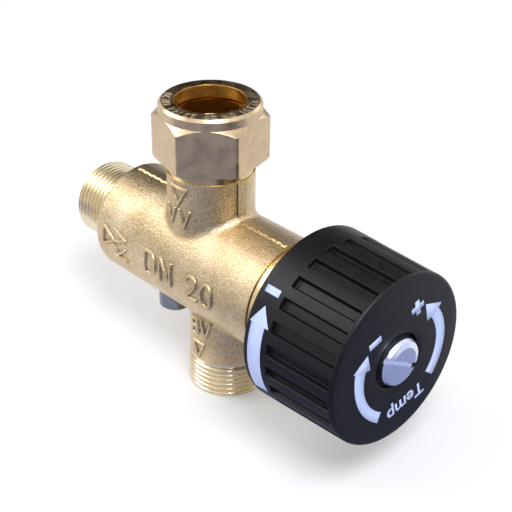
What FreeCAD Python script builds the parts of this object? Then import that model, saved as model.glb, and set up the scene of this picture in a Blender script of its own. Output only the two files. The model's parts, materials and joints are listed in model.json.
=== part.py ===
import FreeCAD, Part
import math
import os

# A thermostatic mixing valve for hot water, forged in brass. The origin is the centre of the mixed
# outlet's end face. Z points up, towards the hot inlet, and X points along the barrel, towards the
# temperature knob. A station is a distance along X from the outlet's axis, and a height is a distance
# above the outlet's end face. All sizes are in millimetres.

# ---- Running and assembly clearances -------------------------------------------------------------
running_gap = 0.05          # radial, between a sliding or turning piece and its bore
thread_gap = 0.03           # radial, between a screwed piece and its plain thread bore
drop_in_gap = 0.1           # radial, between a loosely fitted piece and its bore
seal_gap = 0.02             # radial, between an O-ring and the wall that it runs on
axial_gap = 0.1             # along the axis, where pieces don't bear on each other

# ---- Body forging --------------------------------------------------------------------------------
barrel_height = 43.8        # barrel axis above the outlet's end face
barrel_radius = 19.0
cold_end_length = 46.5      # outlet axis to the barrel's cold end
barrel_edge_radius = 2.2
forged_length = 28.2        # outlet axis to the machined collar
collar_length = 8.2
collar_radius = 18.6
collar_bevel = 0.5
hot_offset = 8.1            # outlet axis back to the hot inlet's axis
neck_fillet = 3.0
land_width = 3.4            # flash land left by the forging dies
land_height = 0.35
land_shift = 0.1            # the land's middle off the valve's middle plane

# ---- Male ports, G 3/4 ---------------------------------------------------------------------------
port_thread_radius = 13.22
port_chamfer = 0.8
cold_thread_length = 14.0
cold_relief_length = 1.8
cold_relief_radius = 12.3
cold_shoulder_length = 2.2
outlet_thread_length = 12.6
outlet_neck_radius = 12.8
outlet_bore_radius = 9.5

# ---- Hot inlet, compression end for a 22 mm pipe -------------------------------------------------
pipe_bore_radius = 11.15
pipe_stop_height = 31.0     # above the barrel axis
hot_bore_radius = 9.5
hot_neck_radius = 14.07
hot_cast_height = 32.4      # above the barrel axis, where the machined band starts
hot_band_radius = 13.7
hot_thread_radius = 14.0
hot_thread_start = 36.0     # above the barrel axis
hot_neck_top = 46.6         # above the barrel axis
nut_overlap = 10.5          # how far the nut reaches down over the neck
nut_height = 19.1
nut_flats = 32.2            # across flats
nut_corner_radius = 1.6
nut_foot_radius = 17.6      # a small chamfer that only takes the corners
nut_foot_height = 1.2
nut_mouth_chamfer = 0.3
nut_collar_radius = 16.1
nut_collar_height = 3.6
nut_collar_edge = 0.9
nut_corner_drop = 2.1       # how far the top chamfer runs down at a corner
nut_facing = 44.5           # direction of a flat's middle, in degrees from -Y towards +X
olive_length = 4.6
olive_wall = 1.6
olive_edge_wall = 0.85
olive_slope = 1.6           # length of the olive's end slopes over their height

# ---- Waterways in the barrel ---------------------------------------------------------------------
hot_floor_wall = 2.0        # metal between the hot port's bore and the hot chamber
outlet_floor_wall = 4.2     # metal between the outlet's bore and the mixing chamber
window_width = 16.0
cartridge_bore_radius = 10.4
cartridge_bore_length = 24.5
throat_radius = 9.4
throat_length = 2.0
cold_chamber_radius = 12.0
cold_chamber_length = 15.0
bush_radius = 13.0
bush_length = 10.0
hot_chamber_radius = 14.0
hot_chamber_length = 11.0
hot_window_inset = 0.6      # from the bush's face to the hot window
hot_window_length = 9.4
mixing_radius = 15.0
outlet_window_start = 0.6   # from the hot seat's rim to the outlet window
outlet_window_length = 7.0

# ---- Seats and shuttle ---------------------------------------------------------------------------
seat_ring_length = 4.0
seat_ring_bore = 9.6
seat_rim_width = 1.1
seat_rim_height = 1.0
seat_key_width = 3.0
seat_key_depth = 1.2
seat_opening = 1.9          # opening at each seat when the shuttle is in its middle place
bush_counterbore_length = 4.0
shuttle_radius = 8.0
shuttle_bore = 6.4
shuttle_end_wall = 2.0
shuttle_window_length = 4.0
shuttle_window_count = 4
shuttle_leg_width = 3.4
hot_flange_radius = 11.2
hot_flange_thickness = 2.2
cage_radius = 9.2
cage_bore = 7.6
cage_length = 14.0
cage_ring_length = 2.6
cage_root_length = 1.4
shuttle_stem_radius = 3.0
cold_washer_radius = 11.0
cold_washer_thickness = 2.0
cold_disc_thickness = 2.2
stem_nut_flats = 10.0
stem_nut_height = 3.2
stem_end = 0.8

# ---- Thermostatic element ------------------------------------------------------------------------
element_cup_radius = 6.2
element_cup_length = 12.0
element_flange_radius = 8.9
element_flange_thickness = 2.5
element_nose_radius = 3.6
element_nose_length = 3.5
piston_radius = 2.0
piston_reach = 4.0          # how far the piston stands out of the nose
piston_depth = 6.0

# ---- Overtravel unit -----------------------------------------------------------------------------
overtravel_cup_radius = 9.95
overtravel_cup_wall = 1.5
overtravel_end_wall = 2.0
plunger_thickness = 2.5
plunger_socket_depth = 1.5
plunger_boss_radius = 4.0
plunger_boss_length = 3.0
overtravel_spring_length = 9.0
overtravel_spring_radius = 6.5
overtravel_wire_radius = 0.85
overtravel_turns = 3.25
cup_ring_thickness = 1.1
cup_ring_depth = 0.7
cup_ring_width = 1.9
cup_ring_land = 0.8

# ---- Bonnet and spindle --------------------------------------------------------------------------
bonnet_thread_radius = 16.0
bonnet_thread_length = 16.4
bonnet_nose_length = 6.0
bonnet_hex_flats = 30.0
bonnet_hex_thickness = 6.0
bonnet_hex_chamfer = 1.0
bonnet_neck_radius = 13.0
bonnet_neck_length = 18.0
adjusting_room = 1.2        # free travel of the spindle and cup each way from their middle place
spindle_thread_radius = 8.0
spindle_tip_radius = 4.0
spindle_tip_length = 1.2
spindle_thread_bore_length = 7.0
spindle_journal_radius = 7.0
spindle_drive_radius = 6.5
spindle_drive_flats = 10.6
inner_ring_share = 0.35     # place of each O-ring along the journal's bore
outer_ring_share = 0.7
screw_thread_radius = 4.0
screw_hole_depth = 12.0

# ---- Knob and its screw --------------------------------------------------------------------------
knob_rear_gap = 1.2         # from the barrel's collar to the knob's rear edge
knob_length = 34.2
knob_rear_radius = 28.48
knob_front_radius = 27.44
knob_front_edge = 1.2
knob_rear_edge = 0.4
knob_wall = 2.1             # under the grooves
knob_front_wall = 3.5
groove_count = 24
groove_width = 3.9
groove_depth = 1.7
groove_start = 8.8          # from the knob's rear edge
groove_length = 24.2
groove_turn = 7.0           # direction of one groove's middle, in degrees from +Z towards -Y
groove_corner = 0.5
knob_hub_radius = 11.0
recess_radius = 8.9
recess_depth = 2.3
screw_head_radius = 7.5
screw_head_height = 4.8
screw_head_edge = 1.6
screw_slot_width = 1.6
screw_slot_depth = 2.0
screw_slot_turn = 62.0      # direction of the slot, in degrees from +Z towards -Y
screw_length = 10.0
stop_width = 4.0
stop_height = 4.0           # how far the bonnet's stop stands out of its neck
stop_length = 6.0
rib_clearance = 1.5         # radial, from the knob's stop rib to the bonnet's neck

# ---- O-rings -------------------------------------------------------------------------------------
ring_cord = 1.8             # cord diameter of the large O-rings
small_ring_cord = 1.2
groove_side_gap = 0.3       # a groove's width beyond its ring's cord

# ---- Check valve cartridge -----------------------------------------------------------------------
check_length = 16.0
check_seat_length = 3.0
check_seat_radius = 7.0
check_bore_radius = 8.8
check_guide_thickness = 2.0
check_guide_hub = 2.6
check_guide_arm = 1.8
poppet_radius = 8.0
poppet_thickness = 1.5
poppet_stem_radius = 1.5
poppet_stem_reach = 0.6     # how far the stem stands past its guide when shut
check_seal_thickness = 1.5
check_spring_radius = 3.2
check_wire_radius = 0.3
check_spring_turns = 5.0
clip_thickness = 1.0
clip_depth = 0.7
clip_width = 1.8
clip_opening = 60.0         # degrees

# ---- Return spring -------------------------------------------------------------------------------
return_spring_radius = 10.3
return_wire_radius = 0.75
return_turns = 3.25

# ---- Test plug under the cold end ----------------------------------------------------------------
plug_offset = 27.5          # outlet axis back to the plug's axis
plug_head_radius = 5.7
plug_bottom = 28.0          # below the barrel axis
plug_shank_radius = 4.0
plug_shank_length = 4.5
plug_seat_margin = 0.7
plug_gasket_thickness = 1.0
plug_edge = 0.8
plug_socket_flats = 5.0
plug_socket_depth = 3.5

ALONG = FreeCAD.Vector(1, 0, 0)
UP = FreeCAD.Vector(0, 0, 1)
AXIS = FreeCAD.Vector(0, 0, barrel_height)

# ---- Stations worked out from the sizes above ----------------------------------------------------
barrel_start = -cold_end_length
cold_port_length = cold_thread_length + cold_relief_length + cold_shoulder_length
cold_end = barrel_start - cold_port_length
collar_end = forged_length + collar_length

throat_start = cold_end + cartridge_bore_length
chamber_start = throat_start + throat_length
bush_start = chamber_start + cold_chamber_length
bush_end = bush_start + bush_length
seat_start = bush_end + hot_chamber_length
seat_face = seat_start + seat_ring_length
bonnet_nose_end = collar_end - bonnet_thread_length - bonnet_nose_length
bonnet_thread_start = collar_end - bonnet_thread_length
bonnet_hex_end = collar_end + bonnet_hex_thickness
bonnet_end = bonnet_hex_end + bonnet_neck_length

cold_seat_face = bush_start - seat_rim_height
shuttle_start = cold_seat_face - seat_opening
window_start = shuttle_start + shuttle_end_wall
window_end = window_start + shuttle_window_length
hot_flange_start = seat_face + seat_opening
hot_flange_end = hot_flange_start + hot_flange_thickness
cage_end = hot_flange_end + cage_length
disc_end = shuttle_start - cold_washer_thickness
disc_start = disc_end - cold_disc_thickness

element_flange_end = cage_end + element_flange_thickness
nose_end = element_flange_end + element_nose_length
piston_end = nose_end + piston_reach
plunger_start = piston_end - plunger_socket_depth
plunger_end = plunger_start + plunger_thickness
cup_floor = plunger_end + overtravel_spring_length
cup_end = cup_floor + overtravel_end_wall
cup_start = plunger_start - cup_ring_thickness - cup_ring_land
cup_bore_radius = overtravel_cup_radius + running_gap
cup_bore_end = cup_end + adjusting_room

thread_bore_end = cup_bore_end + spindle_thread_bore_length
spindle_thread_start = cup_end + spindle_tip_length
spindle_thread_end = thread_bore_end - adjusting_room
drive_start = bonnet_end + adjusting_room

knob_rear = collar_end + knob_rear_gap
knob_front = knob_rear + knob_length
recess_floor = knob_front - recess_depth
drive_end = recess_floor - 2 * axial_gap


def bar(start, end, radius):
    """A round bar on the barrel's axis."""
    return Part.makeCylinder(radius, end - start, AXIS + ALONG * start, ALONG)


def post(station, low, high, radius):
    """An upright round bar between two heights."""
    return Part.makeCylinder(radius, high - low, FreeCAD.Vector(station, 0, low), UP)


def block(start, end, width, low, high):
    """A block between two stations and two heights, even about the middle plane."""
    corner = FreeCAD.Vector(start, -width / 2, low)
    return Part.makeBox(end - start, width, high - low, corner)


def turned(outline):
    """A piece turned about the barrel's axis from (station, radius) points."""
    points = [AXIS + FreeCAD.Vector(station, 0, radius) for station, radius in outline]
    face = Part.Face(Part.makePolygon(points + points[:1]))
    return face.revolve(AXIS, ALONG, 360)


def turned_upright(station, outline):
    """A piece turned about an upright axis from (height, radius) points."""
    points = [FreeCAD.Vector(station + radius, 0, height) for height, radius in outline]
    face = Part.Face(Part.makePolygon(points + points[:1]))
    return face.revolve(FreeCAD.Vector(station, 0, 0), UP, 360)


def pipe(start, end, radius, bore):
    """A plain sleeve on the barrel's axis."""
    return bar(start, end, radius).cut(bar(start, end, bore))


def torus(station, groove_radius, cord):
    """An O-ring on the barrel's axis that lies on the given groove radius."""
    return Part.makeTorus(groove_radius + cord / 2, cord / 2, AXIS + ALONG * station, ALONG)


def turn_about_axis(shape, degrees):
    """A copy turned from +Z towards -Y about the barrel's axis."""
    copy = shape.copy()
    copy.rotate(AXIS, ALONG, degrees)
    return copy


def hexagon_along(start, end, flats):
    """A hexagonal bar on the barrel's axis."""
    corner = flats / 2 / math.cos(math.radians(30))
    points = []
    for step in range(7):
        angle = math.radians(60 * step)
        points.append(AXIS + FreeCAD.Vector(start, corner * math.cos(angle), corner * math.sin(angle)))
    return Part.Face(Part.makePolygon(points)).extrude(ALONG * (end - start))


def hexagon_upright(station, low, high, flats, facing):
    """An upright hexagonal bar with the middle of one flat facing the given way, from -Y towards +X."""
    corner = flats / 2 / math.cos(math.radians(30))
    points = []
    for step in range(7):
        angle = math.radians(facing - 90 + 30 + 60 * step)
        points.append(FreeCAD.Vector(station + corner * math.cos(angle), corner * math.sin(angle), low))
    return Part.Face(Part.makePolygon(points)).extrude(UP * (high - low))


def coil(start, end, radius, wire, turns):
    """A compression spring along the barrel with ends ground flat."""
    length = end - start
    helix = Part.makeHelix(length / turns, length, radius)
    slope = FreeCAD.Vector(0, 2 * math.pi * radius, length / turns)
    section = Part.Circle(FreeCAD.Vector(radius, 0, 0), slope, wire).toShape()
    spring = Part.Wire(helix.Edges).makePipeShell([Part.Wire(section)], True, True)
    spring.rotate(FreeCAD.Vector(0, 0, 0), FreeCAD.Vector(0, 1, 0), 90)
    spring.translate(AXIS + ALONG * start)
    return spring.common(bar(start, end, radius + 2 * wire))


def windows(start, end, radius, count, leg_width):
    """Cutters for side windows in a tube, with a leg of even width between neighbours."""
    ring = bar(start, end, radius)
    for step in range(count):
        corner = AXIS + FreeCAD.Vector(start, -leg_width / 2, 0)
        leg = Part.makeBox(end - start, leg_width, 2 * radius, corner)
        ring = ring.cut(turn_about_axis(leg, 45 + 360 / count * step))
    return ring


def clip_ring(start, thickness, outer, width):
    """An internal circlip with its gap at the top."""
    ring = pipe(start, start + thickness, outer, outer - width)
    reach = 2 * outer
    half = math.radians(clip_opening / 2)
    points = [
        FreeCAD.Vector(start, 0, 0),
        FreeCAD.Vector(start, reach * math.sin(half), reach * math.cos(half)),
        FreeCAD.Vector(start, -reach * math.sin(half), reach * math.cos(half)),
        FreeCAD.Vector(start, 0, 0),
    ]
    wedge = Part.Face(Part.makePolygon([AXIS + point for point in points])).extrude(ALONG * thickness)
    return ring.cut(wedge)


# ---- Brass body and hot inlet fitting ------------------------------------------------------------


def body_outside():
    """The forging with its two necks, its turned ends and its flash land."""
    hot = -hot_offset
    barrel = bar(barrel_start, forged_length, barrel_radius)
    rear_edge = [edge for edge in barrel.Edges if abs(edge.CenterOfMass.x - barrel_start) < 0.01]
    barrel = barrel.makeFillet(barrel_edge_radius, rear_edge)
    hot_neck = post(hot, barrel_height, barrel_height + hot_cast_height, hot_neck_radius)
    outlet_neck = post(0, outlet_thread_length, barrel_height, outlet_neck_radius)
    forging = barrel.fuse([hot_neck, outlet_neck]).removeSplitter()
    joints = [edge for edge in forging.Edges if is_neck_joint(edge)]
    forging = forging.makeFillet(neck_fillet, joints)
    return forging.fuse([flash_land(), collar(), cold_port(), outlet_port(), hot_port()])


def is_neck_joint(edge):
    """True for the curved edges where a neck runs into the barrel."""
    box = edge.BoundBox
    inside = box.XMin > barrel_start + barrel_edge_radius and box.XMax < forged_length - 0.01
    above = box.ZMin > barrel_height + 0.3 * barrel_radius and box.ZMax < barrel_height + barrel_radius + 0.01
    below = box.ZMax < barrel_height - 0.3 * barrel_radius and box.ZMin > barrel_height - barrel_radius - 0.01
    return inside and (above or below)


def flash_land():
    """The low land that runs round the forging where the dies met."""
    top = barrel_height + barrel_radius + land_height
    low = barrel_height - barrel_radius - land_height
    hot_reach = hot_neck_radius + land_height
    outlet_reach = outlet_neck_radius + land_height
    inner = barrel_start + barrel_edge_radius
    land = block(inner, forged_length, land_width, low, top)
    hot_land = block(-hot_offset - hot_reach, -hot_offset + hot_reach, land_width, barrel_height,
                     barrel_height + hot_cast_height)
    outlet_land = block(-outlet_reach, outlet_reach, land_width, outlet_thread_length + land_height,
                        barrel_height)
    land = land.fuse([hot_land, outlet_land])
    land.translate(FreeCAD.Vector(0, land_shift, 0))
    return land


def collar():
    """The machined collar that the bonnet screws into."""
    return turned([
        (forged_length, 0),
        (forged_length, collar_radius - collar_bevel),
        (forged_length + collar_bevel, collar_radius),
        (collar_end - collar_bevel, collar_radius),
        (collar_end, collar_radius - collar_bevel),
        (collar_end, 0),
    ])


def cold_port():
    """The cold inlet's thread, relief and shoulder."""
    thread_end = cold_end + cold_thread_length
    relief_end = thread_end + cold_relief_length
    inside = barrel_start + barrel_edge_radius
    return turned([
        (cold_end, 0),
        (cold_end, port_thread_radius - port_chamfer),
        (cold_end + port_chamfer, port_thread_radius),
        (thread_end, port_thread_radius),
        (thread_end + port_thread_radius - cold_relief_radius, cold_relief_radius),
        (relief_end, cold_relief_radius),
        (relief_end, port_thread_radius),
        (inside, port_thread_radius),
        (inside, 0),
    ])


def outlet_port():
    """The mixed outlet's thread."""
    return turned_upright(0, [
        (0, 0),
        (0, port_thread_radius - port_chamfer),
        (port_chamfer, port_thread_radius),
        (outlet_thread_length, port_thread_radius),
        (outlet_thread_length, 0),
    ])


def hot_port():
    """The hot inlet's machined band and the thread for its nut."""
    cast_top = barrel_height + hot_cast_height
    thread_start = barrel_height + hot_thread_start
    top = barrel_height + hot_neck_top
    return turned_upright(-hot_offset, [
        (cast_top, 0),
        (cast_top, hot_band_radius),
        (thread_start, hot_band_radius),
        (thread_start, hot_thread_radius),
        (top - port_chamfer, hot_thread_radius),
        (top, hot_thread_radius - port_chamfer),
        (top, 0),
    ])


def body_waterways():
    """Everything bored out of the body, from the cold end to the bonnet's thread, and the two side ports."""
    main = turned([
        (cold_end, 0),
        (cold_end, cartridge_bore_radius),
        (throat_start, cartridge_bore_radius),
        (throat_start, throat_radius),
        (chamber_start, throat_radius),
        (chamber_start, cold_chamber_radius),
        (bush_start, cold_chamber_radius),
        (bush_start, bush_radius),
        (bush_end, bush_radius),
        (bush_end, hot_chamber_radius),
        (seat_start, hot_chamber_radius),
        (seat_start, mixing_radius),
        (bonnet_thread_start, mixing_radius),
        (bonnet_thread_start, bonnet_thread_radius),
        (collar_end, bonnet_thread_radius),
        (collar_end, 0),
    ])
    hot_floor = barrel_height + hot_chamber_radius + hot_floor_wall
    neck_top = barrel_height + hot_neck_top
    mouth = pipe_bore_radius + olive_wall + drop_in_gap
    hot = turned_upright(-hot_offset, [
        (hot_floor, 0),
        (hot_floor, hot_bore_radius),
        (barrel_height + pipe_stop_height, hot_bore_radius),
        (barrel_height + pipe_stop_height, pipe_bore_radius),
        (neck_top - mouth + pipe_bore_radius, pipe_bore_radius),
        (neck_top, mouth),
        (neck_top, 0),
    ])
    outlet_floor = barrel_height - mixing_radius - outlet_floor_wall
    outlet = post(0, 0, outlet_floor, outlet_bore_radius)
    hot_window_start = bush_end + hot_window_inset
    hot_window = block(hot_window_start, hot_window_start + hot_window_length, window_width, barrel_height,
                       hot_floor)
    outlet_window_left = seat_face + outlet_window_start
    outlet_window = block(outlet_window_left, outlet_window_left + outlet_window_length, window_width,
                          outlet_floor, barrel_height)
    return main.fuse([hot, outlet, hot_window, outlet_window, plug_hole(), clip_groove()])


def plug_seat_height():
    """Height of the flat that the test plug's gasket seats on."""
    reach = plug_head_radius + plug_seat_margin
    return barrel_height - math.sqrt(barrel_radius ** 2 - reach ** 2)


def plug_hole():
    """The spot face and tapped hole for the test plug."""
    seat = plug_seat_height()
    spot = post(-plug_offset, barrel_height - barrel_radius - 1, seat, plug_head_radius + plug_seat_margin)
    hole = post(-plug_offset, seat, barrel_height, plug_shank_radius + thread_gap)
    return spot.fuse(hole)


def clip_station():
    """Start of the circlip that holds the check valve cartridge."""
    return throat_start - check_length - clip_thickness - axial_gap


def clip_groove():
    """Groove for the check valve's circlip."""
    start = clip_station()
    return bar(start - axial_gap, start + clip_thickness + axial_gap, cartridge_bore_radius + clip_depth)


def make_valve_body():
    return body_outside().cut(body_waterways())


def make_compression_nut():
    """Hexagonal nut with a round collar, chamfered corners and a cone inside that squeezes the olive."""
    station = -hot_offset
    low = barrel_height + hot_neck_top - nut_overlap
    top = low + nut_height
    hex_top = top - nut_collar_height
    corner = nut_flats / 2 / math.cos(math.radians(30)) + 1
    blank = hexagon_upright(station, low, top, nut_flats, nut_facing)
    corners = [edge for edge in blank.Edges if edge.BoundBox.ZLength > nut_height / 2]
    blank = blank.makeFillet(nut_corner_radius, corners)
    slope = nut_corner_drop / (nut_flats / 2 / math.cos(math.radians(30)) - nut_collar_radius)
    shape = turned_upright(station, [
        (low, 0),
        (low, nut_foot_radius),
        (low + nut_foot_height, corner),
        (hex_top - slope * (corner - nut_collar_radius), corner),
        (hex_top, nut_collar_radius),
        (top - nut_collar_edge, nut_collar_radius),
        (top, nut_collar_radius - nut_collar_edge),
        (top, 0),
    ])
    olive_bottom, olive_top = olive_heights()
    cone = pipe_bore_radius + olive_wall + drop_in_gap
    cone_top = olive_top + olive_edge_wall + drop_in_gap
    inside = turned_upright(station, [
        (low, 0),
        (low, hot_thread_radius + thread_gap + nut_mouth_chamfer),
        (low + nut_mouth_chamfer, hot_thread_radius + thread_gap),
        (cone_top - cone + pipe_bore_radius - port_chamfer, hot_thread_radius + thread_gap),
        (cone_top - cone + pipe_bore_radius, cone),
        (cone_top, pipe_bore_radius),
        (top, pipe_bore_radius),
        (top, 0),
    ])
    return blank.common(shape).cut(inside)


def olive_heights():
    """Bottom and top of the olive, which sits in the cone of the neck's mouth."""
    mouth = pipe_bore_radius + olive_wall + drop_in_gap
    bottom = barrel_height + hot_neck_top - (mouth - pipe_bore_radius - olive_edge_wall)
    return bottom, bottom + olive_length


def make_compression_olive():
    """Barrel-shaped brass ring that the nut squeezes onto the pipe."""
    bottom, top = olive_heights()
    edge = pipe_bore_radius + olive_edge_wall
    belly = pipe_bore_radius + olive_wall
    slope = olive_slope * (belly - edge)
    return turned_upright(-hot_offset, [
        (bottom, pipe_bore_radius),
        (bottom, edge),
        (bottom + slope, belly),
        (top - slope, belly),
        (top, edge),
        (top, pipe_bore_radius),
    ])


def make_test_plug():
    """Round-headed plug with a hexagon socket, under the cold end."""
    seat = plug_seat_height()
    shoulder = seat - plug_gasket_thickness
    bottom = barrel_height - plug_bottom
    plug = turned_upright(-plug_offset, [
        (bottom, 0),
        (bottom, plug_head_radius - plug_edge),
        (bottom + plug_edge, plug_head_radius),
        (shoulder, plug_head_radius),
        (shoulder, plug_shank_radius),
        (seat + plug_shank_length, plug_shank_radius),
        (seat + plug_shank_length, 0),
    ])
    return plug.cut(hexagon_upright(-plug_offset, bottom, bottom + plug_socket_depth, plug_socket_flats, 0))


def make_test_plug_gasket():
    seat = plug_seat_height()
    ring = post(-plug_offset, seat - plug_gasket_thickness, seat, plug_head_radius)
    return ring.cut(post(-plug_offset, seat - plug_gasket_thickness, seat, plug_shank_radius + drop_in_gap))


# ---- Check valve cartridge in the cold inlet -----------------------------------------------------


def check_stations():
    """Start, seat and end of the check valve cartridge."""
    start = throat_start - check_length
    return start, start + check_seat_length, throat_start


def make_check_valve_housing():
    start, seat, end = check_stations()
    outer = cartridge_bore_radius - drop_in_gap
    housing = turned([
        (start, check_seat_radius),
        (start, outer),
        (end, outer),
        (end, check_bore_radius),
        (seat, check_bore_radius),
        (seat, check_seat_radius),
    ])
    groove = pipe(seat + groove_side_gap, seat + 3 * groove_side_gap + small_ring_cord, outer + 1,
                  cartridge_bore_radius - seal_gap - small_ring_cord)
    return housing.cut(groove)


def make_check_valve_o_ring():
    start, seat, end = check_stations()
    groove_radius = cartridge_bore_radius - seal_gap - small_ring_cord
    return torus(seat + 2 * groove_side_gap + small_ring_cord / 2, groove_radius, small_ring_cord)


def make_check_valve_guide():
    """Spider that snaps into the housing's end and guides the poppet's stem."""
    start, seat, end = check_stations()
    inner = end - check_guide_thickness
    rim = pipe(inner, end, check_bore_radius, check_bore_radius - check_guide_arm)
    hub = bar(inner, end, check_guide_hub)
    arms = []
    for step in range(3):
        arm = Part.makeBox(check_guide_thickness, check_guide_arm, check_bore_radius - check_guide_arm / 2,
                           AXIS + FreeCAD.Vector(inner, -check_guide_arm / 2, 0))
        arms.append(turn_about_axis(arm, 120 * step))
    guide = rim.fuse([hub] + arms)
    return guide.cut(bar(inner, end, poppet_stem_radius + running_gap)).removeSplitter()


def make_check_valve_poppet():
    start, seat, end = check_stations()
    face = seat + check_seal_thickness
    back = face + poppet_thickness
    return turned([
        (seat, 0),
        (seat, poppet_stem_radius),
        (face, poppet_stem_radius),
        (face, poppet_radius),
        (back, poppet_radius),
        (back, poppet_stem_radius),
        (end + poppet_stem_reach, poppet_stem_radius),
        (end + poppet_stem_reach, 0),
    ])


def make_check_valve_seal():
    start, seat, end = check_stations()
    return pipe(seat, seat + check_seal_thickness, poppet_radius, poppet_stem_radius)


def make_check_valve_spring():
    start, seat, end = check_stations()
    back = seat + check_seal_thickness + poppet_thickness
    return coil(back, end - check_guide_thickness, check_spring_radius, check_wire_radius, check_spring_turns)


def make_check_valve_clip():
    outer = cartridge_bore_radius + clip_depth - drop_in_gap
    return clip_ring(clip_station(), clip_thickness, outer, clip_width)


# ---- Seats, shuttle and return spring ------------------------------------------------------------


def bush_ring_station():
    """Middle of the O-ring groove inside the cold seat bush."""
    return bush_end - 1.5 * groove_side_gap - small_ring_cord


def bush_outer_ring_station():
    return bush_start + bush_length / 2


def make_cold_seat_bush():
    """Bush that carries the cold seat and guides the shuttle."""
    counterbore_end = cold_seat_face + seat_rim_height + bush_counterbore_length
    bush = turned([
        (cold_seat_face, seat_ring_bore),
        (cold_seat_face, seat_ring_bore + seat_rim_width),
        (bush_start, seat_ring_bore + seat_rim_width),
        (bush_start, bush_radius),
        (bush_end, bush_radius),
        (bush_end, shuttle_radius + running_gap),
        (counterbore_end, shuttle_radius + running_gap),
        (counterbore_end, seat_ring_bore),
    ])
    inner_half = small_ring_cord / 2 + groove_side_gap / 2
    inner = bush_ring_station()
    inner_groove = bar(inner - inner_half, inner + inner_half, shuttle_radius + seal_gap + small_ring_cord)
    outer_half = ring_cord / 2 + groove_side_gap / 2
    outer = bush_outer_ring_station()
    outer_groove = pipe(outer - outer_half, outer + outer_half, bush_radius + 1, bush_radius - ring_cord)
    return bush.cut(inner_groove).cut(outer_groove)


def make_cold_seat_o_ring():
    return torus(bush_outer_ring_station(), bush_radius - ring_cord, ring_cord)


def make_shuttle_o_ring():
    return torus(bush_ring_station(), shuttle_radius + seal_gap, small_ring_cord)


def make_hot_seat_ring():
    """Screwed-in seat ring with two slots for its key."""
    face = seat_face - seat_rim_height
    ring = turned([
        (seat_start, seat_ring_bore),
        (seat_start, mixing_radius - thread_gap),
        (face, mixing_radius - thread_gap),
        (face, seat_ring_bore + seat_rim_width),
        (seat_face, seat_ring_bore + seat_rim_width),
        (seat_face, seat_ring_bore),
    ])
    slot = Part.makeBox(seat_key_depth, 2 * mixing_radius, seat_key_width,
                        AXIS + FreeCAD.Vector(face - seat_key_depth, -mixing_radius, -seat_key_width / 2))
    keep = bar(face - seat_key_depth, face, seat_ring_bore + seat_rim_width)
    return ring.cut(slot.cut(keep))


def make_valve_shuttle():
    """The sliding tube that throttles the cold at one end and the hot at the other."""
    outside = turned([
        (disc_start - stem_nut_height - stem_end, 0),
        (disc_start - stem_nut_height - stem_end, shuttle_stem_radius),
        (shuttle_start, shuttle_stem_radius),
        (shuttle_start, shuttle_radius),
        (hot_flange_start, shuttle_radius),
        (hot_flange_start, hot_flange_radius),
        (hot_flange_end, hot_flange_radius),
        (hot_flange_end, cage_radius),
        (cage_end, cage_radius),
        (cage_end, 0),
    ])
    inside = turned([
        (window_start, 0),
        (window_start, shuttle_bore),
        (hot_flange_start, shuttle_bore),
        (hot_flange_end, cage_bore),
        (cage_end, cage_bore),
        (cage_end, 0),
    ])
    reach = shuttle_radius + 1
    cold_windows = windows(window_start, window_end, reach, shuttle_window_count, shuttle_leg_width)
    cage_windows = windows(hot_flange_end + cage_root_length, cage_end - cage_ring_length, cage_radius + 1,
                           shuttle_window_count, shuttle_leg_width)
    return outside.cut(inside).cut(cold_windows).cut(cage_windows)


def make_cold_valve_washer():
    return pipe(disc_end, shuttle_start, cold_washer_radius, shuttle_stem_radius)


def make_cold_valve_disc():
    return pipe(disc_start, disc_end, cold_washer_radius, shuttle_stem_radius + thread_gap)


def make_cold_valve_nut():
    start = disc_start - stem_nut_height
    nut = hexagon_along(start, disc_start, stem_nut_flats)
    return nut.cut(bar(start, disc_start, shuttle_stem_radius + thread_gap))


def make_return_spring():
    return coil(chamber_start, disc_start, return_spring_radius, return_wire_radius, return_turns)


# ---- Thermostatic element ------------------------------------------------------------------------


def make_wax_element():
    """Copper cup filled with wax, with the flange and nose that guide its piston."""
    outside = turned([
        (cage_end - element_cup_length, 0),
        (cage_end - element_cup_length, element_cup_radius - 1),
        (cage_end - element_cup_length + 1, element_cup_radius),
        (cage_end, element_cup_radius),
        (cage_end, element_flange_radius),
        (element_flange_end, element_flange_radius),
        (element_flange_end, element_nose_radius + 1),
        (element_flange_end + 1, element_nose_radius),
        (nose_end, element_nose_radius),
        (nose_end, 0),
    ])
    return outside.cut(bar(nose_end - piston_depth, nose_end, piston_radius + running_gap))


def make_element_piston():
    """Piston at its middle stroke, with room behind it to go in."""
    return bar(nose_end - piston_depth + seat_opening, piston_end, piston_radius)


# ---- Overtravel unit -----------------------------------------------------------------------------


def make_overtravel_cup():
    bore = overtravel_cup_radius - overtravel_cup_wall
    cup = turned([
        (cup_start, bore),
        (cup_start, overtravel_cup_radius),
        (cup_end, overtravel_cup_radius),
        (cup_end, 0),
        (cup_floor, 0),
        (cup_floor, bore),
    ])
    return cup.cut(bar(cup_start + cup_ring_land, plunger_start, bore + cup_ring_depth))


def make_overtravel_plunger():
    """Disc with a socket for the piston and a boss that centres the spring."""
    bore = overtravel_cup_radius - overtravel_cup_wall
    plunger = bar(plunger_start, plunger_end, bore - drop_in_gap)
    boss = bar(plunger_end, plunger_end + plunger_boss_length, plunger_boss_radius)
    socket = bar(plunger_start, piston_end, piston_radius + drop_in_gap)
    return plunger.fuse(boss).removeSplitter().cut(socket)


def make_overtravel_spring():
    return coil(plunger_end, cup_floor, overtravel_spring_radius, overtravel_wire_radius, overtravel_turns)


def make_overtravel_clip():
    bore = overtravel_cup_radius - overtravel_cup_wall
    return clip_ring(cup_start + cup_ring_land, cup_ring_thickness, bore + cup_ring_depth, cup_ring_width)


# ---- Bonnet and spindle --------------------------------------------------------------------------


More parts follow.
